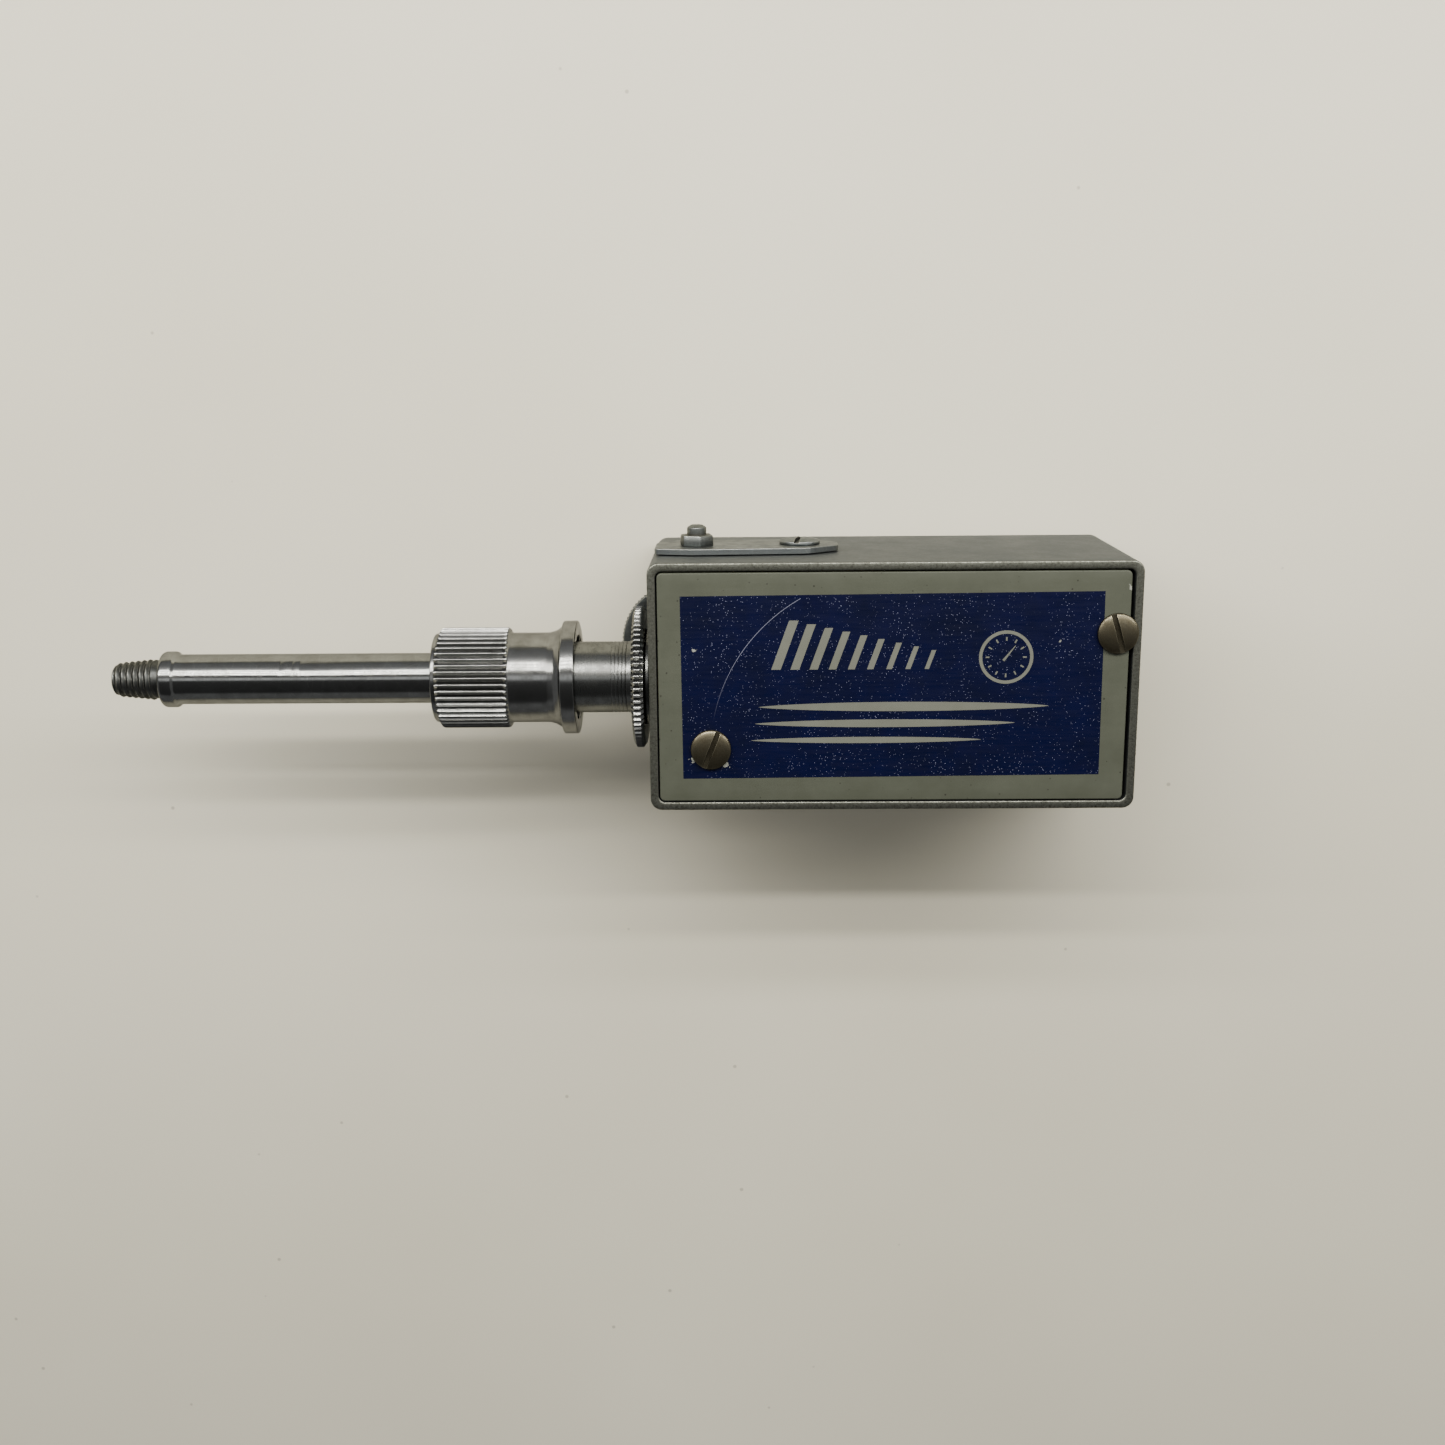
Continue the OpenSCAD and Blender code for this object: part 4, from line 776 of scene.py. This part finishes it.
def knurled_sleeve_body():
    """Straight-knurled grip, plain neck, flared flange and the recess that takes the boss"""
    start, end = sleeve_low.x, sleeve_high.x
    neck_start = start + KNURL_LENGTH
    flange_start = end - FLANGE_LENGTH
    chamber_end = start + CHAMBER_LENGTH
    bore = BOSS + 0.03
    middle = (start + end) / 2
    lip = 0.16
    shoulder = KNURL - KNURL_DEPTH - 0.05
    crest = KNURL - 0.04
    grip = [(shoulder, start, 0), (crest, start + lip, KNURL_DEPTH), (KNURL, start + 2 * lip, KNURL_DEPTH),
            (KNURL, neck_start - 2 * lip, KNURL_DEPTH), (crest, neck_start - lip, KNURL_DEPTH),
            (shoulder, neck_start, 0)]
    neck = eased([(shoulder, neck_start, 0), (NECK, neck_start + 0.1, 0),
                  (NECK, flange_start - FLARE_LENGTH, 0),
                  (NECK + 0.2, flange_start - FLARE_LENGTH * 0.45, 0), (FLANGE - 0.4, flange_start, 0),
                  (FLANGE, flange_start + 0.05, 0), (FLANGE, end, 0), (RECESS, end, 0),
                  (RECESS, end - RECESS_DEPTH, 0), (bore, end - RECESS_DEPTH, 0), (bore, middle, 0)], 0.12)
    inside = [(bore, chamber_end, 0), (CHAMBER, chamber_end, 0), (CHAMBER, start, 0), (shoulder, start, 0)]
    return moved(turned(grip + neck[1:] + inside, KNURL_RIBS, ribbed(KNURL_RIBS)), ON_RELEASE_AXIS)


def outlet_boss_body():
    """Turned boss with its hub against the can, tool grooves near the hub and the circlip's groove"""
    start, end = boss_low.x, boss_high.x
    hub_start = case_low.x - 0.4
    middle = (start + end) / 2
    groove_start, groove_end = circlip_low.x - FIT, circlip_high.x + FIT
    tool_lines = []
    for i in range(5):
        line = ring_low.x - 1.7 + 0.3 * i
        tool_lines += [(BOSS, line - 0.07, 0), (BOSS - 0.03, line, 0), (BOSS, line + 0.07, 0)]
    profile = [(BOSS_BORE, middle, 0), (BOSS_BORE, start, 0), (BOSS - 0.15, start, 0),
               (BOSS, start + 0.15, 0), (BOSS, groove_start, 0),
               (CIRCLIP_GROOVE, groove_start, 0), (CIRCLIP_GROOVE, groove_end, 0),
               (BOSS, groove_end, 0)]
    profile += tool_lines
    profile += eased([(BOSS, hub_start - 0.3, 0), (BOSS, hub_start, 0), (BOSS_HUB, hub_start, 0),
                      (BOSS_HUB, case_low.x, 0), (BOSS_SHANK, case_low.x, 0), (BOSS_SHANK, end, 0)], 0.1)
    profile += [(BOSS_BORE, end, 0), (BOSS_BORE, middle, 0)]
    return moved(turned(profile), ON_RELEASE_AXIS)


def lock_ring_body():
    """Thin ring with fine knurling between two chamfers"""
    start, end = ring_low.x, ring_high.x
    outer = (ring_high.y - ring_low.y) / 2
    bore = BOSS + 0.03
    middle = (start + end) / 2
    depth = 0.2
    lip = 0.22
    profile = [(bore, middle, 0), (bore, start + 0.08, 0), (bore + 0.08, start, 0), (outer - 1.1, start, 0),
               (outer - 1.0, start + 0.05, 0), (outer - 0.35, start + 0.05, 0),
               (outer - 0.04, start + lip, depth), (outer, start + lip + 0.04, depth), (outer, middle, depth),
               (outer, end - lip - 0.04, depth), (outer - 0.04, end - lip, depth), (outer - 0.35, end, 0),
               (bore + 0.08, end, 0), (bore, end - 0.08, 0), (bore, middle, 0)]
    return moved(turned(profile, RING_RIBS, ribbed(RING_RIBS, 0.9)), ON_RELEASE_AXIS)


def plunger_rod_body():
    """Polished rod with a domed tip"""
    radius = (plunger_high.y - plunger_low.y) / 2
    start, end = plunger_low.x, plunger_high.x
    height = 0.2
    sweep = [math.radians(a) for a in (15, 35, 55, 75, 90)]
    dome = [(radius * math.sin(a), start + height * (1 - math.cos(a)), 0) for a in sweep]
    return moved(turned(dome + [(radius, end, 0)]), ON_RELEASE_AXIS)


piece("tapered_thread", release_thread_body(), "release_tip", [thread_steel],
      ["release_thread"])
piece("plated_tube", release_tube_body(), "release_tip", [tube_chrome], ["release_tube"])
piece("turned_cap", sleeve_cap_body(), "release_tip", [sleeve_nickel], ["sleeve_cap"])
piece("knurled_grip", knurled_sleeve_body(), "release_tip", [sleeve_nickel], ["knurled_sleeve"])
piece("turned_boss", outlet_boss_body(), "case", [boss_nickel], ["outlet_boss"])
piece("knurled_ring", lock_ring_body(), "lock_ring", [sleeve_nickel], ["lock_ring"])
piece("plunger_pin", plunger_rod_body(), "plunger", [arbor_steel], ["plunger_rod"])


# ---- start lever, its stud and screw, and the thumbwheel ----


def lever_blade():
    """Sheet lever: broad at the thumb end, pointed past its pivot, with eased corners"""
    left = lever_low.x - LEVER_X
    right = lever_high.x - LEVER_X
    half = LEVER_Z - lever_low.z
    outline = [(left, half - 0.1), (left + 3, half + 0.5), (0.6, half), (right, 1), (right, -1), (0.6, -half),
               (left + 1.6, 0.2 - half), (left, 1.8 - half)]
    bm = bmesh.new()
    face = bm.faces.new([bm.verts.new((x, 0, z)) for x, z in outline])
    bmesh.ops.bevel(bm, geom=bm.verts[:], offset=0.35, segments=4, profile=0.5, affect="VERTICES",
                    material=-1)
    face = max(bm.faces, key=lambda f: f.calc_area())
    thick = lever_high.y - lever_low.y
    grown = bmesh.ops.extrude_face_region(bm, geom=[face])["geom"]
    bmesh.ops.translate(bm, vec=(0, thick, 0), verts=[g for g in grown if isinstance(g, bmesh.types.BMVert)])
    bmesh.ops.recalc_face_normals(bm, faces=bm.faces)
    return moved(bm, Matrix.Translation((LEVER_X, lever_low.y, LEVER_Z)))


# The thumb stud's base and post, as radii and heights
STUD_BASE = (1.45, 1.4)
STUD_BASE_HEIGHT = 0.85
STUD_BASE_TURN = math.radians(12)
STUD_RIVET = 0.6
STUD_POST = 0.78
STUD_POST_FOOT = 0.4
STUD_POST_SHOULDER = 1.45


def thumb_stud():
    """Riveted stud: a six-sided base with chamfered corners and a round post with a domed end"""
    x = (stud_low.x + stud_high.x) / 2
    z = (stud_low.z + stud_high.z) / 2
    foot = lever_high.y - stud_low.y
    whole = stud_high.y - stud_low.y
    base = bmesh.new()
    bmesh.ops.create_cone(base, cap_ends=True, segments=6, radius1=STUD_BASE[0], radius2=STUD_BASE[1],
                          depth=STUD_BASE_HEIGHT)
    bmesh.ops.bevel(base, geom=base.edges[:], offset=0.1, segments=2, profile=0.5, affect="EDGES",
                    material=-1)
    middle = foot + STUD_BASE_HEIGHT / 2
    moved(base, Matrix.Translation((0, 0, middle)) @ Matrix.Rotation(STUD_BASE_TURN, 4, "Z"))
    step = foot + STUD_POST_FOOT
    post = turned(eased([(STUD_RIVET * 0.5, 0, 0), (STUD_RIVET, 0, 0), (STUD_RIVET, step, 0),
                         (STUD_POST, step, 0), (STUD_POST, foot + STUD_POST_SHOULDER, 0),
                         (0.45, whole, 0), (0.2, whole, 0)], 0.06))
    return moved(joined(base, post), on_lever_axis(x, stud_low.y, z))


def pivot_screw():
    """Flat cheese-head screw that holds the lever"""
    height = pivot_high.y - lever_high.y - FIT
    shank = lever_high.y + FIT - pivot_low.y
    radius = (pivot_high.x - pivot_low.x) / 2
    head = slotted_head(radius, PIVOT_SHANK, height, shank, PIVOT_SLOT_TURN)
    return moved(head, on_lever_axis(LEVER_X, lever_high.y + FIT, LEVER_Z))


def winding_wheel():
    """Coin-edged wheel with a shallow recess in both faces"""
    x = (wheel_low.x + wheel_high.x) / 2
    y = (wheel_low.y + wheel_high.y) / 2
    rim = (wheel_high.y - wheel_low.y) / 2
    low, high = wheel_low.z, wheel_high.z
    middle = (low + high) / 2
    bore = 0.52
    rib_depth = 0.1
    recess = low + 0.12
    hub = 1.3
    web = rim - 1.1
    edge = rim - 0.8
    lower = [(bore, middle, 0), (bore, low, 0), (hub, low, 0), (hub + 0.2, recess, 0), (web, recess, 0),
             (edge, low, 0), (rim - 0.16, low, 0), (rim, recess, rib_depth), (rim, middle, rib_depth)]
    upper = [(radius, low + high - level, rib) for radius, level, rib in lower[::-1]]
    return moved(turned(lower + upper[1:], WHEEL_RIBS, ribbed(WHEEL_RIBS)), Matrix.Translation((x, y, 0)))


piece("lever_blade", lever_blade(), "lever", [lever_nickel], ["start_lever"], edge=0.07)
piece("thumb_stud", thumb_stud(), "lever", [stud_metal], ["lever_stud"])
piece("pivot_screw", pivot_screw(), "lever", [lever_nickel], ["lever_screw"], edge=0.03)
piece("winding_wheel", winding_wheel(), "winder", [lever_nickel], ["thumbwheel"])


# ---- the movement inside the can keeps its CAD shapes ----

INSIDE = {
    plate_brass: ["back_plate", "front_plate", "pillars", "plate_feet", "cover_posts", "boss_nut",
                  "spring_bracket", "lever_bush", "winding_bush", "carriage", "winding_idler",
                  "winding_gear", "great_wheel", "second_wheel", "escape_wheel", "anchor_weight"],
    arbor_steel: ["guide_rod", "idler_stud", "lever_shaft", "stop_finger", "rack", "winding_arbor",
                  "drive_arbor", "ratchet_wheel", "click", "second_arbor", "escape_arbor", "anchor",
                  "anchor_arbor"],
    screw_brass: ["pillar_screws", "bracket_screws", "case_screws"],
    spring_metal: ["sleeve_circlip", "lever_washer", "drive_spring", "click_spring"],
}
for material, names in INSIDE.items():
    for name in names:
        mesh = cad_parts[name].data
        mesh.materials.clear()
        mesh.materials.append(material)


# ---- table, light and camera ----


def table_material():
    """Smooth painted table top: warm pale grey, faintly clouded, with a few grains of dust"""
    material, tree, shader = blank("painted_table_top")
    place = node(tree, "ShaderNodeTexCoord").outputs["Object"]
    cloud = node(tree, "ShaderNodeTexNoise", {"Vector": place, "Scale": 14, "Detail": 4, "Roughness": 0.5})
    tone = node(tree, "ShaderNodeMapRange",
                {"Value": cloud.outputs["Fac"], "From Min": 0.3, "From Max": 0.7})
    colour = node(tree, "ShaderNodeMix",
                  {"Factor": tone.outputs["Result"], "A": linear("#dcd8c5"), "B": linear("#d2cdb9")},
                  data_type="RGBA").outputs["Result"]
    grain = node(tree, "ShaderNodeTexVoronoi", {"Vector": place, "Scale": 160, "Randomness": 1})
    dot = node(tree, "ShaderNodeMapRange",
               {"Value": grain.outputs["Distance"], "From Min": 0.02, "From Max": 0.035,
                                            "To Min": 0.5, "To Max": 0})
    colour = node(tree, "ShaderNodeMix",
                  {"Factor": dot.outputs["Result"], "A": colour, "B": linear("#7d766a")},
                  data_type="RGBA").outputs["Result"]
    tree.links.new(colour, shader.inputs["Base Color"])
    shader.inputs["Roughness"].default_value = 0.55
    return material


def table():
    """Pale table that the timer lies on"""
    bm = bmesh.new()
    bmesh.ops.create_grid(bm, x_segments=1, y_segments=1, size=1.5)
    mesh = bpy.data.meshes.new("table_top")
    bm.to_mesh(mesh)
    bm.free()
    mesh.materials.append(table_material())
    top = bpy.data.objects.new("table_top", mesh)
    bpy.context.scene.collection.objects.link(top)


LAMP_DISTANCE = 0.16
LAMP_LENGTH = 0.5


def lamp(name, lean, width, watts):
    """Long strip lamp over the timer, level with its length and leaning away by `lean` per unit of height"""
    light = bpy.data.lights.new(name, "AREA")
    light.shape = "RECTANGLE"
    light.size = LAMP_LENGTH
    light.size_y = width
    light.energy = watts
    light.color = (1.0, 0.965, 0.9)
    direction = Vector((0, lean, 1)).normalized()
    stand = bpy.data.objects.new(name, light)
    stand.location = direction * LAMP_DISTANCE
    stand.rotation_euler = (-math.atan(lean), 0, 0)
    bpy.context.scene.collection.objects.link(stand)


# Brightness of the room round the timer's length, by angle from overhead: the far side is positive
ROOM = [(-180, 0.2), (-90, 0.2), (-62, 0.2), (-53, 0.05), (3, 0.08), (7, 1.0), (15, 1.0), (19, 0.08),
        (44, 0.16), (50, 0.9), (57, 0.9), (63, 0.4), (90, 0.26), (180, 0.2)]
ROOM_ENDS = 0.24


def room_light():
    """Soft room light in long bands, with the dark shape of the person on the near side"""
    world = bpy.data.worlds.new("soft_room")
    world.use_nodes = True
    tree = world.node_tree
    tree.nodes.clear()
    way = node(tree, "ShaderNodeTexCoord").outputs["Generated"]
    parts = node(tree, "ShaderNodeSeparateXYZ", {"Vector": way})
    lean = node(tree, "ShaderNodeMath", {0: parts.outputs["Y"], 1: parts.outputs["Z"]}, operation="ARCTAN2")
    turn = node(tree, "ShaderNodeMapRange",
                {"Value": lean.outputs["Value"], "From Min": -math.pi, "From Max": math.pi})
    bands = node(tree, "ShaderNodeValToRGB", {"Fac": turn.outputs["Result"]})
    stops = bands.color_ramp.elements
    while len(stops) < len(ROOM):
        stops.new(0.5)
    for stop, (angle, level) in zip(stops, ROOM):
        stop.position = (angle + 180) / 360
        stop.color = (level, level, level, 1)
    aside = node(tree, "ShaderNodeMath", {0: parts.outputs["X"]}, operation="ABSOLUTE")
    ends = node(tree, "ShaderNodeMapRange",
                {"Value": aside.outputs["Value"], "From Min": 0.55, "From Max": 0.85})
    level = node(tree, "ShaderNodeMix", {"Factor": ends.outputs["Result"], "A": bands.outputs["Color"],
                                         "B": (ROOM_ENDS, ROOM_ENDS, ROOM_ENDS, 1)}, data_type="RGBA")
    sky = node(tree, "ShaderNodeBackground", {"Color": level.outputs["Result"], "Strength": 1.25})
    node(tree, "ShaderNodeOutputWorld", {"Surface": sky.outputs["Background"]})
    bpy.context.scene.world = world


CAMERA_PLACE = (-0.01156, 0.02699, 0.14401)
CAMERA_TURN = [math.radians(angle) for angle in (-13.34, 0.84, -0.31)]
CAMERA_WIDTH = math.radians(47.81)


def camera():
    """Camera close above the timer, looking down and a little forward"""
    lens = bpy.data.cameras.new("view")
    lens.angle = CAMERA_WIDTH
    lens.clip_start = 0.005
    view = bpy.data.objects.new("view", lens)
    view.location = CAMERA_PLACE
    view.rotation_mode = "ZYX"
    view.rotation_euler = CAMERA_TURN
    bpy.context.scene.collection.objects.link(view)
    bpy.context.scene.camera = view


table()
room_light()
lamp("near_strip", 0.57, 0.006, 0.36)
lamp("middle_strip", 0.74, 0.006, 0.38)
lamp("far_strip", 0.95, 0.01, 0.36)
camera()
